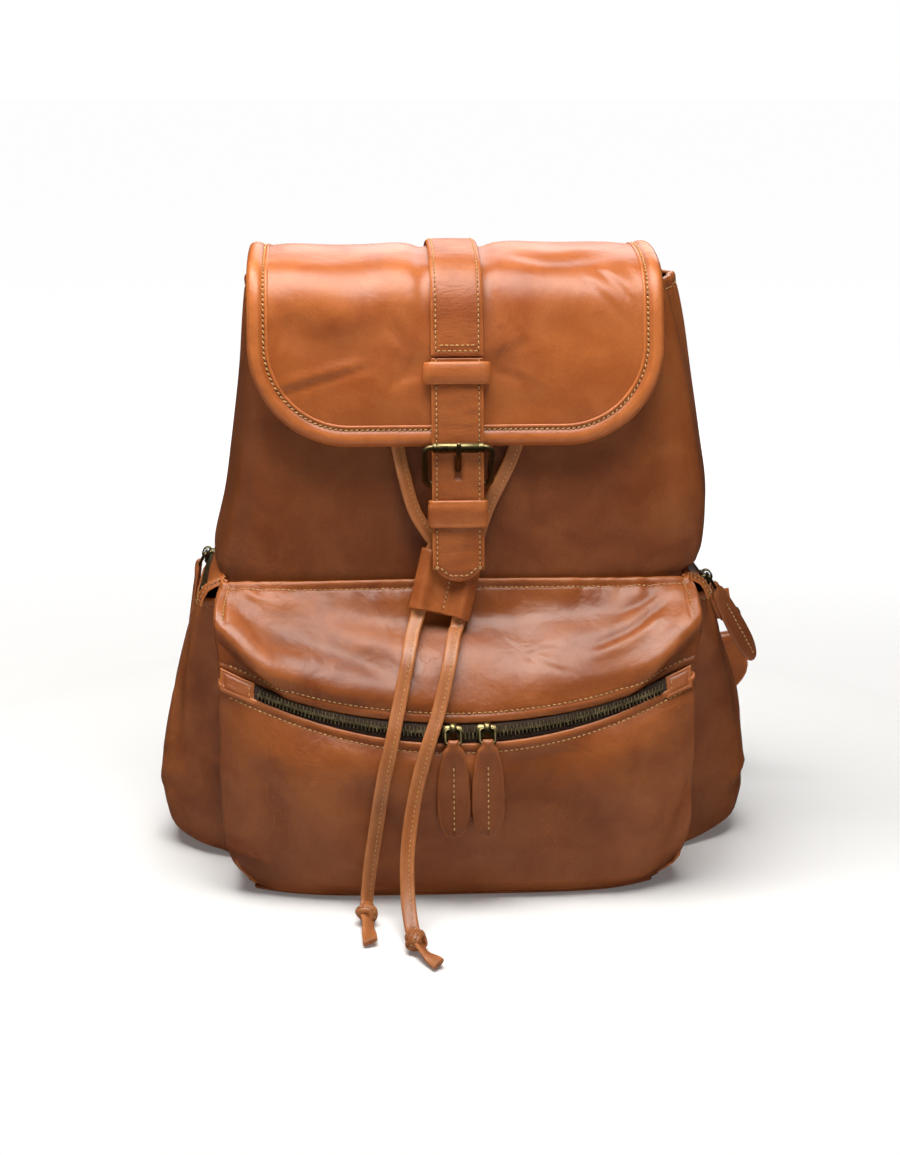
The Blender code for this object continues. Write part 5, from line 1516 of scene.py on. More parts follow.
# Stations of a slider's shield as (along it, half width), half its section as (share across, drop
# from its top), its underside as (share across, height), and its arch as (down, out).
SLIDER_STATIONS = [
    (-6.2, 2.6), (-5.9, 3.6), (-5.0, 4.2), (-2.5, 4.5), (1.5, 4.7), (4.6, 4.9), (5.9, 4.4), (6.2, 3.4),
]
SLIDER_CROWN = [(-0.92, 0.9), (-0.7, 0.2), (-0.3, 0.0), (0.3, 0.0), (0.7, 0.2), (0.92, 0.9)]
SLIDER_UNDERSIDE = [(0.86, 0.5), (0.8, 2.75), (-0.8, 2.75), (-0.86, 0.5)]
SLIDER_WEAR = [0, 0.3, 0.8, 1, 0.7, 0.7, 1, 0.8, 0.3, 0, 0, 0, 0, 0]
SLIDER_ARCH = [(2.2, 3.6), (2.4, 5.4), (1.2, 6.9), (-1.2, 7.4), (-3.4, 6.8), (-4.5, 5.2), (-4.6, 3.6)]
ARCH_SECTION = np.array([
    (-2.1, 0.0), (-1.9, 0.45), (0.0, 0.62), (1.9, 0.45), (2.1, 0.0), (1.9, -0.4), (-1.9, -0.4),
])


def build_slider(name, frame, body, node):
    """Zip slider: a domed shield over the teeth, its lips, and the arch that its ring hangs from."""
    here, along, down, out = frame
    rings = []
    for a, half in SLIDER_STATIONS:
        shell_top = 4.3 - 0.35 * (abs(a) / 6.2) ** 4
        crown = [(b, shell_top - drop) for b, drop in SLIDER_CROWN]
        section = [(-1.0, 0.5), (-1.0, 2.2), *crown, (1.0, 2.2), (1.0, 0.5), *SLIDER_UNDERSIDE]
        rings.append([here + along * a + down * b * half + out * h for b, h in section])
    tone = np.tile(np.array(SLIDER_WEAR), (len(rings), 1))
    plate = settle(loft(name, np.array(rings), [BRASS], tone=tone), body, [node])
    plate.data.set_sharp_from_angle(angle=math.radians(50))
    path = np.array([here + down * b + out * h for b, h in spline(SLIDER_ARCH, 5)])
    ahead = unit(np.gradient(path, axis=0))
    outwards = np.cross(ahead, np.broadcast_to(along, ahead.shape))
    rings = path[:, None] + along * ARCH_SECTION[:, :1] + outwards[:, None] * ARCH_SECTION[:, 1:]
    settle(loft(name + "_arch", rings, [BRASS], tone=np.full(rings.shape[:2], 0.7)), body)


def build_pull(name, body, bridge, ring_down, hang, across, nodes, bend=1.5, twist=0.0):
    """Wire ring on a slider's arch, and the folded and stitched leather pull on the ring.

    twist turns the pull about its own length, towards the front.
    """
    ring_down, hang, across = unit(ring_down), unit(hang), unit(across)
    top = bridge + ring_down * RING_DROP
    loop = round_rectangle(4.6, RING_DROP / 2, 2.4)
    path = bridge + across * loop[:, :1] + ring_down * (RING_DROP / 2 - loop[:, 1:])
    facing_out = np.cross(across, ring_down)
    wire(name + "_ring_wire", path, 0.9, BRASS, body, [nodes[0]], sides=10,
         towards=facing_out)
    turned = Matrix.Rotation(math.radians(twist), 3, Vector(hang)) @ Vector(across)
    across = unit(np.array(turned))
    out = np.cross(hang, across)
    drops = np.linspace(-PULL_FOLD, PULL_END, 40)[:, None]
    centres = top + hang * drops - out * (bend * (drops / PULL_END) ** 2)
    space = Ribbon(centres, across, out)

    def place(u, v, h):
        return space(u, np.asarray(v, float) + PULL_FOLD, h)

    def dent(u, v):
        seam = -0.75 * hump(u, 0.0, 0.8) * ramp(v, 11.0, 13.0)
        fold = 0.7 * (1 - ramp(v, 2.0, 9.0))
        return seam + fold

    strip(name + "_leather", place, PULL_WIDTHS, 3.6, PULL_LOOK, body, [nodes[1]],
          groove=0.0, crown=0.5, dent=dent)
    v = np.linspace(13.0, 52.0, 40)
    run = stitch_run(place, 0 * v, v, 1.65)
    stitches(name + "_leather_thread", [run], body, 3.0, 2.2, 0.45)


def build_front_zip():
    """Front zip with its two sliders and pulls, and the leather tab at each end."""
    build_zip("front_zipper", front_zip_frame, ZIP_HALF_LENGTH + 1.0, ["front_zip"],
              (SLIDER_X["left"], SLIDER_X["right"]))
    for name, side in SIDES:
        x = SLIDER_X[name]
        here, along, down, out = front_zip_frame(math.asin(x / ZIP_RADIUS) * ZIP_RADIUS)
        build_slider(name + "_front_slider", (here, along, down, out), f"front_{name}_slider",
                     "front_slider_" + name)
        bridge = here + down * -1.2 + out * 5.3
        build_pull(name + "_front_pull", f"front_{name}_pull", bridge, np.array([0.0, -0.60, -0.80]),
                   np.array([0.0, -0.15, -1.0]), RIGHT,
                   (f"front_{name}_ring", f"front_{name}_pull"), bend=-0.6)

        def place(u, v, h, side=side):
            x = side * (ZIP_HALF_LENGTH - 1.0 + np.asarray(v, float))
            return zip_point(x, u, np.asarray(h, float) - 0.4)

        strip("zip_end_" + name, place, [(0.0, 6.0), (ZIP_END_LENGTH[name], 6.0)], 1.7, POCKET_LOOK,
              "bag", ["front_zip_end_" + name], groove=1.8, crown=0.2)
        cross = np.linspace(-3.2, 3.2, 12)
        run = stitch_run(place, cross, np.full(len(cross), 3.0), 0.75)
        stitches(f"zip_end_{name}_thread", [run], "bag", 2.6, 2.0, 0.36)


def build_side_zips():
    """The two side zips, each with one slider and pull."""
    for name, side in SIDES:
        frame_at = side_zip_frame(side)
        build_zip(f"side_zipper_{name}", frame_at, SIDE_ZIP_HALF_LENGTH, ["side_zip_" + name])
        here, along, down, out = frame_at(SIDE_SLIDER_Y[name])
        if name == "left":
            along = -along
        build_slider(f"{name}_side_slider", (here, along, down, out), f"side_{name}_slider",
                     "side_slider_" + name)
        bridge = here + down * -1.2 + out * 5.3
        lean = SIDE_PULL_LEAN[name]
        hang = np.array([side * lean, 0.0, -math.sqrt(1 - lean**2)])
        across = np.array([0.0, float(side), 0.0])
        build_pull(f"{name}_side_pull", f"side_{name}_pull", bridge, down, hang, across,
                   (f"side_{name}_ring", f"side_{name}_pull"), bend=0.8, twist=SIDE_PULL_TWIST[name])


build_front_zip()
build_side_zips()


# Side pockets -------------------------------------------------------------------------------------


SIDE_ZIP_REACH = 53.0
SIDE_CREASES = [
    ([(-30.0, 150.0), (-22.0, 110.0), (-28.0, 70.0)], 2.6, 5.0, 0.6),
    ([(8.0, 158.0), (14.0, 120.0), (6.0, 86.0)], 2.0, 6.0, 0.6),
    ([(34.0, 150.0), (30.0, 108.0), (38.0, 60.0)], 2.2, 5.0, 0.6),
    ([(-40.0, 30.0), (-22.0, 40.0), (-6.0, 34.0)], 1.8, 4.0, 0.7),
    ([(14.0, 30.0), (30.0, 44.0), (44.0, 40.0)], 1.6, 4.0, 0.7),
]


def side_pocket_row(side, z, out, t):
    y = SIDE_POCKET_HALF_DEPTH * t
    wall = float(line_at(BODY_HALF_WIDTH, max(z, 4.4))) - 7.0 * (y / 58.0) ** 2
    seam = wall + 2.4
    bow = 1.0 - np.abs(t) ** (3.2 + 5.0 * float(ramp(z, 105.0, 160.0)))
    return np.stack([side * (seam + np.maximum(out - seam, 0.0) * bow), y, np.full(len(t), z)], axis=-1)


def build_side_pockets():
    """The two side pockets: sculpted walls with a beaded, stitched top edge."""
    for name, side in SIDES:
        t = graded(2.0, 0.045, 0.016, 0.08) - 1.0
        rows = [side_pocket_row(side, z, out, t) for z, out in SIDE_POCKET_LINES[name]]
        grid = panel_grid(rows, 44, margin=8.0)
        inside = (side * 120.0, 0.0, 90.0)
        down = distance_down(grid)
        to_top = down[-1] - down
        flat = np.stack([grid[..., 1] * side, grid[..., 2]], axis=-1)
        height = 1.6 * soft_noise(grid * np.array([1.0, 1.0, 0.45]), 48.0, 60 + side) - 0.3
        height -= crease_depths(flat, SIDE_CREASES)
        height *= ramp(down, 2.0, 22.0) * ramp(to_top, 3.0, 26.0) * (1 - 0.8 * np.abs(t) ** 8)
        beads = 1.0 * hump(to_top, 2.0, 2.6) - 0.45 * hump(to_top, 5.6, 0.8)
        made = raised(grid, height + beads, inside)
        pouch = shell("side_pouch_" + name, made, POCKET_THICKNESS, inside, [POCKET_LOOK, LINING], height)
        settle(pouch, "bag", ["side_pocket_" + name])
        normals = facing(made, inside)
        rows = np.argmin(np.abs(to_top - 5.6), axis=0)
        columns = np.arange(len(t))
        edge_runs = [(made[rows, columns][4:-4], normals[rows, columns][4:-4])]
        stitches(f"side_pouch_{name}_thread", edge_runs, "bag", 3.4)
        build_side_zip_frame(name, side)


def build_side_zip_frame(name, side):
    """Leather welt between a side zip and the bag's wall, and the tabs that close the zip's ends."""
    frame_at = side_zip_frame(side)

    def to_wall(u, along):
        """How far the bag's rounded wall draws the upper edge in, towards the ends of the zip."""
        inward = 6.5 * (along / SIDE_ZIP_REACH) ** 2 * ramp(-u, 2.0, 12.0)
        return np.stack([-side * inward, 0 * inward, 0 * inward], axis=-1)

    def welt_place(u, v, h):
        along = np.asarray(v, float) - SIDE_ZIP_REACH
        here, _, down, out = frame_at(along)
        u, h = np.asarray(u, float) - 8.0, np.asarray(h, float)
        lift = h + 0.3 - 0.035 * (u + 4.0) ** 2
        return here + down * u[..., None] + out * lift[..., None] + to_wall(u, along)

    strip("side_zip_welt_" + name, welt_place, [(0.0, 4.0), (SIDE_ZIP_REACH * 2, 4.0)], 1.6, POCKET_LOOK,
          "bag", groove=0.0, crown=0.4)

    for end_name, end in (("front", -1), ("back", 1)):
        def tab_place(u, v, h, end=end):
            along = end * (SIDE_ZIP_HALF_LENGTH + 2.2 + np.asarray(v, float))
            here, _, down, out = frame_at(along)
            u, v, h = np.asarray(u, float) - 1.5, np.asarray(v, float), np.asarray(h, float)
            lift = h + 1.1 - 0.06 * v * v - 0.012 * u * u
            return here + down * u[..., None] + out * lift[..., None] + to_wall(u, along)

        strip(f"side_zip_tab_{name}_{end_name}", tab_place, [(0.0, 9.4), (7.5, 9.4)], 1.7, POCKET_LOOK,
              "bag", groove=1.8, crown=0.2, thread=2.8)


build_side_pockets()


# Flap ---------------------------------------------------------------------------------------------


FLAP_RUN = evenly(spline([(0.0, y, z) for y, z in FLAP_LINE], 12), 2.0)
FLAP_LENGTH = travel(FLAP_RUN)[-1]
FLAP_SPACE = Ribbon(FLAP_RUN, (1.0, 0.0, 0.0))
if FLAP_SPACE.out[0, 1] < 0:
    FLAP_SPACE.out = -FLAP_SPACE.out

FLAP_CREASES = [
    ([(-119.0, 27.0), (-90.0, 36.0), (-44.0, 49.0)], 1.1, 2.4, 0.9),
    ([(-112.0, 80.0), (-84.0, 62.0), (-40.0, 52.0)], 1.8, 13.0, 0.5),
    ([(22.0, 52.0), (34.0, 58.0), (48.0, 65.0)], 0.5, 2.4, 0.7),
    ([(22.0, 44.0), (34.0, 41.0), (48.0, 35.0)], 0.45, 2.4, 0.7),
    ([(-22.0, 44.0), (-34.0, 39.0), (-48.0, 31.0)], 0.45, 2.4, 0.7),
    ([(-22.0, 55.0), (-33.0, 62.0), (-44.0, 74.0)], 0.5, 3.0, 0.7),
    ([(84.0, 112.0), (98.0, 96.0), (110.0, 80.0)], 0.7, 2.4, 0.8),
    ([(74.0, 104.0), (90.0, 88.0), (104.0, 70.0)], 0.5, 2.2, 0.8),
    ([(100.0, 118.0), (108.0, 104.0), (112.0, 92.0)], 0.6, 2.0, 0.8),
    ([(30.0, 130.0), (62.0, 122.0), (98.0, 132.0)], 1.2, 9.0, 0.5),
]


# Section of the flap's binding as (inwards from the edge, out).
BINDING_TOP = [
    (11.9, -0.3), (11.7, 0.45), (11.1, 0.85), (10.4, 0.85), (9.8, 0.45), (9.2, 0.12), (8.6, 0.1),
    (8.0, 0.6), (7.0, 1.35), (5.6, 1.95), (4.2, 2.2), (2.8, 2.2), (1.4, 1.95), (0.2, 1.35), (-0.7, 0.4),
    (-1.15, -0.8), (-1.15, -2.4), (-0.6, -3.5), (0.8, -4.1), (3.6, -4.2), (6.6, -4.1), (7.0, -3.4),
    (6.8, -2.6), (6.8, -0.5),
]


def flap_height(u, v):
    """Sculpted height of the flap: puffed beside the strap, pulled in where the keeper holds it."""
    up = FLAP_LENGTH - v
    flat = np.stack([u, up], axis=-1)
    over_top = ramp(up, 60.0, 92.0) * (1 - ramp(up, 196.0, 215.0))
    beside = -1.8 * hump(np.abs(u), 19.5, 5.0) + 1.1 * hump(np.abs(u), 36.0, 13.0)
    sheet = np.stack([u, v], -1)
    noise = 0.7 * soft_noise(sheet, 96.0, 70) + 0.22 * soft_noise(sheet, 34.0, 71)
    calm = 1 - hump(u, 0.0, 20.0)
    edge = ramp(125.0 - np.abs(u), 8.0, 26.0) * ramp(up, 8.0, 26.0)
    height = noise * calm * (0.25 + 0.75 * edge) + beside * over_top
    height = height - 1.5 * hump(np.abs(u), 26.0, 9.0) * hump(up, 48.0, 9.0)
    return height + sum(crease(flat, *entry) for entry in FLAP_CREASES) * edge


def flap_place(u, v, h):
    """Point above the flap's sculpted face: u across, v from the rear seam along it, h out."""
    u, v, h = np.broadcast_arrays(*(np.asarray(a, float) for a in (u, v, h)))
    shape = u.shape
    u, v, h = (np.atleast_1d(a).reshape(-1) for a in (u, v, h))
    return FLAP_SPACE(u, v, h + flap_height(u, v)).reshape(*shape, 3)


FLAP_INSET = 0.8


def flap_half(v):
    """Half width of the flap with its round hem corners, inset from its outline."""
    radius = FLAP_CORNER - FLAP_INSET
    past = np.clip(v - (FLAP_LENGTH - FLAP_CORNER), 0.0, radius)
    return FLAP_HALF_WIDTH - FLAP_CORNER + np.sqrt(radius**2 - past**2)


def build_flap():
    """The flap as one leather sheet with its lining, and its binding."""
    v = graded(FLAP_LENGTH - FLAP_INSET, 2.4, 0.8, 10.0)
    shares = np.linspace(-1.0, 1.0, 121)
    u = flap_half(v)[:, None] * shares
    v = np.repeat(v[:, None], len(shares), axis=1)
    outer = flap_place(u, v, 0.0)
    inner = flap_place(u, v, -3.0)
    # Tone: the flap's ridges wear light and its hollows get painted shade.
    tone = np.clip(flap_height(u, v) * 0.2, -0.6, 0.3)
    settle(slab("flap_leather", outer, inner, [FLAP_LOOK, LINING], tone, bulge=0.9), "flap",
           ["flap_panel"])
    build_flap_binding()


def binding_line():
    """Outline of the flap (u, v) from rear left round the hem to rear right, and its inward direction."""
    core = FLAP_HALF_WIDTH - FLAP_CORNER
    straight = FLAP_LENGTH - FLAP_CORNER
    sides = np.linspace(20.0, straight, 90)[:-1]
    turns = np.linspace(0.0, math.pi / 2, 34)
    left = [(-FLAP_HALF_WIDTH, v, 1.0, 0.0) for v in sides]
    for a in turns:
        across, down = math.cos(a), math.sin(a)
        left.append((-core - FLAP_CORNER * across, straight + FLAP_CORNER * down, across, -down))
    hem = [(x, FLAP_LENGTH, 0.0, -1.0) for x in np.linspace(-core, core, 60)[1:-1]]
    right = [(-a, b, -c, d) for a, b, c, d in reversed(left)]
    return np.array(left + hem + right)


def build_flap_binding():
    """Rounded binding round the flap's three free edges, with its stitches."""
    line = binding_line()
    section = np.array(BINDING_TOP)
    u = line[:, None, 0] + line[:, None, 2] * section[:, 0]
    v = line[:, None, 1] + line[:, None, 3] * section[:, 0]
    rings = flap_place(u, np.clip(v, 0.0, FLAP_LENGTH), section[:, 1])
    past = np.clip(v - FLAP_LENGTH, 0.0, None)
    rings = rings + np.array([0.0, -0.05, -1.0]) * past[..., None]
    tone = np.tile(np.where((section[:, 0] > 10.0) | (section[:, 1] > 1.9), 0.55, 0.0), (len(line), 1))
    settle(loft("flap_edge", rings, [FLAP_LOOK], tone=tone), "flap", ["flap_binding"])
    stitch_u = line[:, 0] + line[:, 2] * 8.9
    stitch_v = line[:, 1] + line[:, 3] * 8.9
    run = stitch_run(flap_place, stitch_u, stitch_v, 0.25)
    stitches("flap_edge_thread", [run], "flap", 3.2, 2.6, 0.5, slant=0.42)


build_flap()


# Closure strap and buckle -------------------------------------------------------------------------


STRAP_RUN = evenly(spline([(0.0, y, z) for y, z in STRAP_LINE]), 1.5)
STRAP_SPACE = Ribbon(STRAP_RUN, (1.0, 0.0, 0.0), (0.0, -1.0, 0.0))
FLAP_BELT_START = 34.0
FLAP_BELT_END = 53.0
FLAP_BELT_LIFT = 2.4
BELT_HALF = 15.6
KEEPER_HALF = 8.2
PRONG_LINE = [
    (-72.8, 248.4), (-74.0, 253.0), (-77.6, 258.5), (-82.0, 263.5), (-84.6, 269.0), (-84.9, 274.0),
]
TAB_LINE = [(-75.4, 238.0), (-76.8, 226.0), (-79.2, 210.0)]
TAB_BACK_LINE = [(-67.4, 242.5), (-68.6, 239.0)]
TAB_SLOT_AT = 33.5


def strap_at(z):
    """How far along the closure strap height z is."""
    return float(np.interp(-z, -STRAP_RUN[:, 2], STRAP_SPACE.along))


def tip_widths(half, length):
    """Width rows of the closure strap, with a half-round tip."""
    rows = [(0.0, half)]
    for k in range(16):
        share = math.sin(math.pi / 2 * k / 15)
        rows.append((length - half + half * share, max(0.3, half * math.sqrt(max(0.0, 1 - share**2)))))
    return rows


def build_flap_belt():
    """Strap sewn along the flap, from its rear to the buckle."""
    span = FLAP_LENGTH - FLAP_BELT_START - FLAP_BELT_END

    def place(u, v, h):
        return FLAP_SPACE(u, np.asarray(v, float) + FLAP_BELT_START, np.asarray(h, float) + FLAP_BELT_LIFT)

    strip("flap_belt", place, [(0.0, BELT_HALF), (span, BELT_HALF)], 3.0, STRAP_LOOK, "flap",
          ["flap_strap"], thread=3.2)
    cross = np.linspace(-11.0, 11.0, 30)
    run = stitch_run(place, cross, np.full(len(cross), span - 6.2), 1.72)
    stitches("flap_belt_cross_thread", [run], "flap", 3.0, 2.3, 0.45)


def build_closure_belt():
    """Closure strap through the buckle, with the prong's slot and a round tip."""
    low, high = strap_at(264.5), strap_at(251.0)

    def hole(u, v):
        slot = ramp(2.4 - np.abs(u), 0.0, 0.8) * ramp(v, low - 1.0, low) * (1 - ramp(v, high, high + 1.0))
        return 0.10 * soft_noise(np.stack([u * 0.35, v], -1), 5.5, 80, 30) - 2.3 * slot

    widths = tip_widths(BELT_HALF, strap_at(STRAP_LINE[-1][1]))
    strip("closure_belt", STRAP_SPACE, widths, 3.0, STRAP_LOOK, "flap",
          ["closure_strap"], thread=3.2, dent=hole, open_ends=(True, False), gap=1.1)


def build_flap_keeper():
    """Leather bar across the closure strap, sewn to the flap at both ends."""
    at = strap_at(313.5)
    half = [(0.0, 3.6), (13.0, 3.3), (16.6, 2.6), (18.4, 0.9), (19.6, -1.2)]
    profile = spline([(-x, y) for x, y in half[:0:-1]] + half, 6)
    centre = STRAP_SPACE(0.0, at, 0.0)
    out = unit(STRAP_SPACE(0.0, at, 1.0) - centre)
    down = unit(STRAP_SPACE(0.0, at + 1.0, 0.0) - centre)
    path = centre + RIGHT * profile[:, :1] + out * profile[:, 1:]
    strip("flap_keeper_band", Ribbon(path, down, out), [(0.0, 6.6), (travel(path)[-1], 6.6)], 2.0,
          STRAP_LOOK, "flap", ["flap_keeper"], groove=0.0, crown=0.0,
          dent=lambda u, v: 1 - (u / 6.6) ** 2, gap=1.2)


def keeper_section():
    """Section of the sliding keeper: crowned and grooved outside, flat inside."""
    section = []
    for k in range(25):
        x = KEEPER_HALF * math.sin(math.pi / 2 * (k / 12 - 1))
        edge = KEEPER_HALF - abs(x)
        crown = 1.0 + 0.35 * (1 - (x / KEEPER_HALF) ** 2)
        rounding = 0.8 * math.exp(-edge / 0.6)
        groove = 0.3 * math.exp(-(((edge - 2.2) / 0.6) ** 2))
        section.append((x, crown - rounding - groove))
    return np.array(section + [(KEEPER_HALF, -0.7), (0.0, -0.9), (-KEEPER_HALF, -0.7)])


def build_tab_keeper():
    """Closed leather loop that slides on the closure strap below the buckle."""
    at = strap_at(229.5)
    on_strap = STRAP_SPACE(0.0, at, 0.0)
    centre = on_strap + np.array([0.0, 1.4, 0.0])
    out = unit(STRAP_SPACE(0.0, at, 1.0) - on_strap)
    down = unit(STRAP_SPACE(0.0, at + 1.0, 0.0) - on_strap)
    loop = round_rectangle(17.0, 4.7, 3.0)
    path = centre + RIGHT * loop[:, :1] + out * loop[:, 1:]
    ahead = unit(np.roll(path, -1, axis=0) - np.roll(path, 1, axis=0))
    outwards = np.cross(np.broadcast_to(down, ahead.shape), ahead)
    if (outwards * (path - centre)).sum() < 0:
        outwards = -outwards
    section = keeper_section()
    rings = path[:, None] + down * section[:, :1] + outwards[:, None] * section[:, 1:]
    tone = np.tile(np.abs(section[:, 0]) / 10.0, (len(path), 1))
    piece = loft("tab_keeper_band", rings, [STRAP_LOOK], tone=tone, closed=True)
    settle(piece, "keeper", ["tab_keeper"])


def build_buckle_loop():
    """Wire frame of the buckle, between its roller and its heel."""
    rise = ROLLER_CENTRE - HEEL_CENTRE
    middle = (ROLLER_CENTRE + HEEL_CENTRE) / 2
    up = unit(rise)
    out = unit(np.cross(RIGHT, up))
    if out[1] > 0:
        out = -out
    loop = round_rectangle(BUCKLE_WIDTH / 2 - 1.8, np.linalg.norm(rise) / 2, 4.0, steps=8)
    path = middle + RIGHT * loop[:, :1] + up * loop[:, 1:]
    wire("buckle_loop", closed_evenly(path, 1.5), 2.05, BRASS, "flap",
         ["buckle_frame"], sides=16, flat=0.85, towards=out)


def build_roller():
    half = [
        (2.2, -15.5), (2.9, -15.5), (3.15, -15.0), (3.15, -13.2), (2.85, -12.8), (2.85, -12.2),
        (3.15, -11.8),
    ]
    outline = half + [(radius, -along) for radius, along in reversed(half)]
    lathe("roller_tube", outline, ROLLER_CENTRE, RIGHT, BRASS, "roller", ["buckle_roller"])


def build_prong():
    """Prong of the buckle and the eye that it turns on."""
    line = spline([(0.0, y, z) for y, z in PRONG_LINE], 6)
    turns = 2 * math.pi * np.arange(12) / 12
    front = np.cross(RIGHT, unit(np.gradient(line, axis=0)))
    radius = 1.75 - 0.35 * np.linspace(0.0, 1.0, len(line))
    radius[-2:] *= (0.85, 0.45)
    section = RIGHT * np.cos(turns)[:, None] + front[:, None] * np.sin(turns)[:, None] * 0.8
    rings = line[:, None] + section * radius[:, None, None]
    piece = loft("prong_arm", rings, [BRASS], tone=np.full(rings.shape[:2], 0.6))
    settle(piece, "prong", ["buckle_prong"])
    outline = [(2.15, -1.8), (3.4, -1.8), (3.8, -1.2), (3.8, 1.2), (3.4, 1.8), (2.15, 1.8)]
    lathe("prong_eye", outline, HEEL_CENTRE, RIGHT, BRASS, "prong")


def build_buckle_tab():
    """Leather that folds round the buckle's heel, with a slot for the prong."""
    bend = []
    for k in range(17):
        turn = math.radians(-70.0 + 255.0 * k / 16)
        bend.append(HEEL_CENTRE + np.array([0.0, -math.cos(turn) * 3.4, math.sin(turn) * 3.4]))
    front = [(0.0, y, z) for y, z in reversed(TAB_LINE)]
    behind = [(0.0, y, z) for y, z in TAB_BACK_LINE]
    space = Ribbon(evenly(spline(front + bend + behind, 5), 1.2), RIGHT)

    def slot(u, v):
        return -1.6 * ramp(3.4 - np.abs(u), 0.0, 0.9) * hump(v, TAB_SLOT_AT, 7.0)

    strip("buckle_leather", space, [(0.0, 14.6), (space.along[-1], 14.6)], 2.2, STRAP_LOOK, "flap",
          ["buckle_tab"], groove=2.4, crown=0.0, dent=slot)


build_flap_belt()
build_closure_belt()
build_flap_keeper()
build_tab_keeper()
build_buckle_loop()
build_roller()
build_prong()
build_buckle_tab()
for snap in ("snap_magnet", "snap_plate"):
    recoat(snap, BRASS)


# Toggle and mouth ---------------------------------------------------------------------------------


MOUTH_ROUTE = [
    (-54.0, -34.0), (-74.0, -33.0), (-100.0, -32.0), (-117.0, -24.0), (-121.0, 0.0),
    (-118.0, 26.0), (-100.0, 39.5), (-60.0, 43.5), (0.0, 45.0),
]


def build_toggle():
    """Folded leather toggle: two round channels for the cords, stitched together between them."""
    across, down, out = toggle_axes()
    places = np.sin(np.linspace(-math.pi / 2, math.pi / 2, 61))
    u = places * 19.0
    away = np.abs(u)
    bulge = 1.75 + 2.75 * np.exp(-(((away - 12.6) / 4.6) ** 2))
    closing = np.sqrt(np.clip(1 - ((away - 13.4).clip(0.0) / 5.62) ** 2, 0.0, 1.0))
    front = bulge * closing - 0.45 * hump(u, -2.0, 0.8) - 0.5 * hump(u, -5.4, 0.7)
    back = -bulge * closing * 0.85
    ring = np.concatenate([np.stack([u, front], -1), np.stack([u[::-1][1:-1], back[::-1][1:-1]], -1)])
    # Stations as (along, scale, tone): the tucked-in ends get tone -1, painted shade, and the rolled ends
    # wear light.
    stations = [(-17.0, 0.62, -1.0), (-17.6, 0.80, -0.3), (-18.2, 0.93, 0.8), (-17.4, 1.0, 0.4)]
    stations += [(v, 1.0 + 0.05 * (v / 18.0) ** 2, 0.0) for v in np.linspace(-16.0, 16.0, 22)]
    stations += [(17.4, 1.04, 0.4), (18.2, 0.97, 0.8), (17.6, 0.82, -0.3), (17.0, 0.64, -1.0)]
    rings, tones = [], []
    for v, scale, tone in stations:
        wide = np.sign(ring[:, 0]) * (np.abs(ring[:, 0]) - (1 - min(scale, 1.0)) * 4.5).clip(0.0)
        deep = ring[:, 1] * scale
        bow = 1.1 * (wide / 19.0) ** 2 * np.sign(v) * (abs(v) / 18.0)
        steps = across * wide[:, None] + down * (v + bow)[:, None] + out * deep[:, None]
        rings.append(TOGGLE_CENTRE + steps)
        tones.append(np.full(len(ring), tone) + 0.25 * hump(np.abs(wide), 12.6, 2.5) * (deep > 0))
    toggle = loft("toggle_leather", np.array(rings), [STRAP_LOOK], tone=np.array(tones))
    settle(toggle, "toggle", ["cord_toggle"])
    v = np.linspace(-15.5, 15.5, 30)
    run = TOGGLE_CENTRE - across * 2.0 + down * v[:, None] + out * 1.45
    stitches("toggle_thread", [(run, np.broadcast_to(out, run.shape))], "toggle", 3.0)


# Outline of an eyelet as (radius, along its axis): a flange on each side of the leather.
EYELET_OUTLINE = [
    (4.4, -2.4), (5.0, -3.0), (7.6, -2.7), (8.2, -1.9), (5.2, -1.7), (5.2, 1.7), (8.2, 1.9), (7.6, 2.8),
    (5.0, 3.1), (4.4, 2.4),
]


def build_mouth_cord():
    """The drawcord's run round the inside of the mouth, and its two eyelets."""
    half = [(x, y, 345.0) for x, y in MOUTH_ROUTE]
    lead = [(-41.8, -51.0, 345.5), (-42.0, -47.0, 345.0), (-43.5, -40.0, 345.0)]
    left = lead + half
    route = evenly(spline(left + [(-x, y, z) for x, y, z in reversed(left[:-1])]), 3.0)
    rings, _, _ = swept(route, np.broadcast_to(UP, route.shape), cord_section() * np.array([0.8, 1.1]))
    cord = loft("mouth_cord", rings, [CORD_LOOK], tone=np.full(rings.shape[:2], 0.2))
    settle(cord, "bag", ["drawcord"])
    for name, side in SIDES:
        centre = np.array([side * 42.0, -48.0, 345.0])
        lathe("eyelet_" + name, EYELET_OUTLINE, centre, (side * 0.06, -0.98, -0.17), BRASS, "bag",
              ["mouth_eyelet_" + name])


build_toggle()
build_mouth_cord()


# Back ---------------------------------------------------------------------------------------------


STRAP_REACH = {"left": -158.0, "right": 190.0}
YOKE_HALF = 96.0
WEB_WIDTH = 25.0
WEB_LOOP = 3.8
HAUL_ROUTE = [
    (-26.0, 72.0, 318.0), (-26.0, 72.0, 306.0), (-19.0, 72.0, 294.0), (0.0, 72.0, 289.0),
    (19.0, 72.0, 294.0), (26.0, 72.0, 306.0), (26.0, 72.0, 318.0),
]


STRAP_STITCH_INSET = 3.0


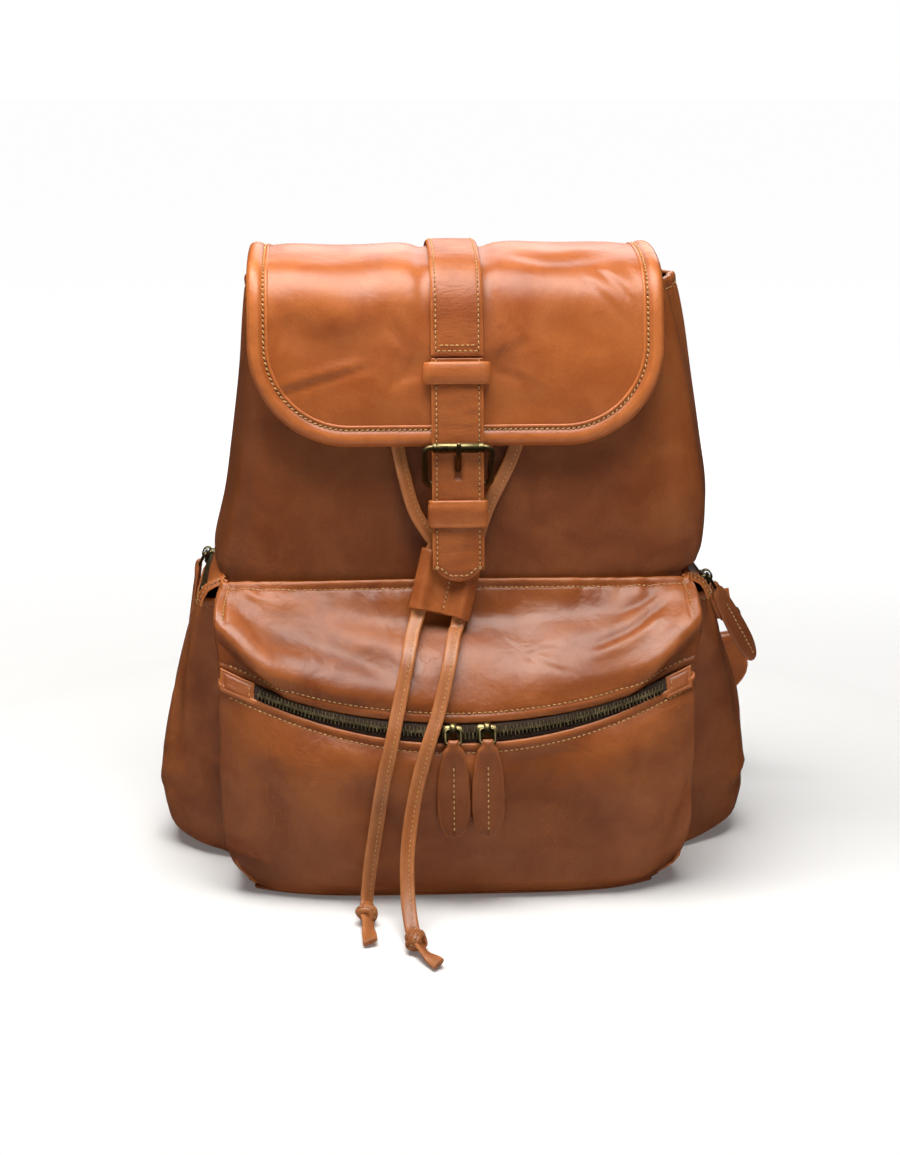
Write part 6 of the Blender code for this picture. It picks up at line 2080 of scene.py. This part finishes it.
def build_sized_strap(name, centres, across, sizes, body, replaced, look, towards, puff=0.0):
    """Strap whose (width, thickness) changes along its run, with a stitch line by each edge."""
    ahead = unit(np.gradient(centres, axis=0))
    across = unit(across - ahead * (across * ahead).sum(-1, keepdims=True))
    out = np.cross(ahead, across)
    if (out * np.asarray(towards, float)).sum() < 0:
        out = -out
    rings, tones = [], []
    for k in range(len(centres)):
        width, thick = sizes[k]
        section = strap_section(width, thick, groove=STRAP_STITCH_INSET, crown=puff * thick)
        rings.append(centres[k] + across[k] * section[:, :1] + out[k] * section[:, 1:])
        tones.append(np.exp(-(width / 2 - np.abs(section[:, 0])).clip(0) / 0.9))
    made = settle(loft(name, np.array(rings), [look], tone=np.array(tones)), body, replaced)
    half, thick = sizes[:, :1] / 2, sizes[:, 1:]
    aside = half - STRAP_STITCH_INSET
    lift = thick / 2 - 0.38 - 0.42 * thick * np.exp(-STRAP_STITCH_INSET / (0.28 * thick))
    lift = lift + puff * thick * (1 - (aside / half) ** 2)
    runs = [(centres + across * side * aside + out * lift, out) for side in (-1, 1)]
    stitches(name + "_thread", [(run[2:-2], normal[2:-2]) for run, normal in runs], body, 3.2)
    return made


def build_back():
    """Yoke, haul loop and both shoulder straps."""
    def yoke_place(u, v, h):
        z = 330.0 - np.asarray(v, float)
        bow = 3.0 - 3.0 * (np.asarray(u, float) / YOKE_HALF) ** 2
        y = line_at(BACK_LINE, z) + bow + np.asarray(h, float) - 1.1
        return np.stack(np.broadcast_arrays(u, y, z), axis=-1)

    strip("back_yoke", yoke_place, [(0.0, YOKE_HALF), (38.0, YOKE_HALF)], 2.2, BODY_LOOK, "bag",
          ["strap_yoke"], thread=3.4, columns=81)
    haul = evenly(spline(HAUL_ROUTE), 2.0)
    sizes = np.tile([18.0, 3.4], (len(haul), 1))
    across = np.broadcast_to(np.array([0.0, 1.0, 0.0]), haul.shape)
    build_sized_strap("haul_strap", haul, across, sizes, "haul_loop", ["haul_loop"],
                      STRAP_LOOK, (0.0, 0.0, -1.0))
    for name, side in SIDES:
        build_shoulder_strap(name, side)


def adjuster_axes(name, side):
    centre = np.array([STRAP_REACH[name], 82.0, 112.0])
    down = unit(np.array([side * 0.18, -0.08, -1.0]))
    across = unit(RIGHT - down * down[0])
    out = np.cross(across, down)
    return centre, across, down, out if out[1] > 0 else -out


def half_turn(centre, out, down, radius):
    """Points of a half turn round a bar, from its outer side over down to its inner side."""
    angles = [math.radians(180.0 * k / 12) for k in range(13)]
    return [centre + (out * math.cos(angle) + down * math.sin(angle)) * radius for angle in angles]


def build_shoulder_pad(name, side, bar, axes):
    """Padded shoulder strap, from the yoke to the adjuster's upper bar."""
    across, down, out = axes
    reach = abs(STRAP_REACH[name])
    wide = 0.8 * side
    route = [
        ((side * 62.0, 63.5, 328.0), (1.0, 0.0, 0.0), 46.0, 7.0),
        ((side * 64.0, 66.5, 314.0), (1.0, 0.0, 0.05 * side), 46.0, 8.0),
        ((side * 78.0, 80.0, 280.0), (0.95, 0.0, 0.3 * side), 46.0, 9.0),
        ((side * (reach * 0.52), 91.0, 232.0), (0.85, 0.0, wide * 0.6), 42.0, 9.0),
        ((side * (reach * 0.70), 95.0, 180.0), (0.7, 0.6 * side, 0.5 * side), 34.0, 8.0),
        ((side * (reach * 0.87), 91.0, 144.0), (0.75, 0.5 * side, 0.4 * side), 28.0, 4.0),
    ]
    route += [(bar + down * h + out * 3.9, across, 25.0, 3.0) for h in (-6.0, -2.0)]
    centres = spline([row[0] for row in route], 16)
    sideways = spline([row[1] for row in route], 16)
    sizes = spline([(row[2], row[3]) for row in route], 16)
    pad = build_sized_strap("shoulder_pad_" + name, centres, sideways, sizes, "bag",
                            ["shoulder_strap_" + name], STRAP_LOOK, (0.0, 1.0, 0.0), puff=0.16)


def build_web(name, route, across, replaced):
    """Flat webbing of one width along a route."""
    sizes = np.tile([WEB_WIDTH, 2.8], (len(route), 1))
    build_sized_strap(name, route, np.broadcast_to(across, route.shape), sizes, "bag",
                      replaced, STRAP_LOOK, (0.0, 1.0, 0.0))


def build_shoulder_strap(name, side):
    """One shoulder strap: its pad, the loop round the adjuster, the adjuster and the lower strap."""
    centre, *axes = adjuster_axes(name, side)
    across, down, out = axes
    bar = centre - down * 10.0
    build_shoulder_pad(name, side, bar, axes)
    upper = [bar + down * -3.0 + out * WEB_LOOP] + half_turn(bar, out, down, WEB_LOOP)
    upper += [bar + down * h - out * WEB_LOOP for h in (-4.0, -10.0, -16.0)]
    build_web("shoulder_web_" + name, evenly(spline(upper, 3), 1.5), across, [])
    loop = round_rectangle(17.0, 10.0, 3.0)
    path = centre + across * loop[:, :1] + down * loop[:, 1:]
    wire("adjuster_" + name, closed_evenly(path, 2.0), 2.0, BRASS, "bag",
         ["strap_adjuster_" + name], towards=out)
    bar = centre + down * 10.0
    corner = np.array([side * 126.0, 72.6, 20.0])
    lower = [corner, corner + np.array([side * 3.0, 1.4, 14.0])]
    lower += [bar - out * WEB_LOOP + down * h for h in (24.0, 8.0)]
    lower += half_turn(bar, out, down, -WEB_LOOP)
    lower += [bar + down * h + out * WEB_LOOP for h in (7.0, 14.0, 22.0)]
    build_web("lower_web_" + name, evenly(spline(lower, 6), 1.8), across, ["lower_strap_" + name])


build_back()
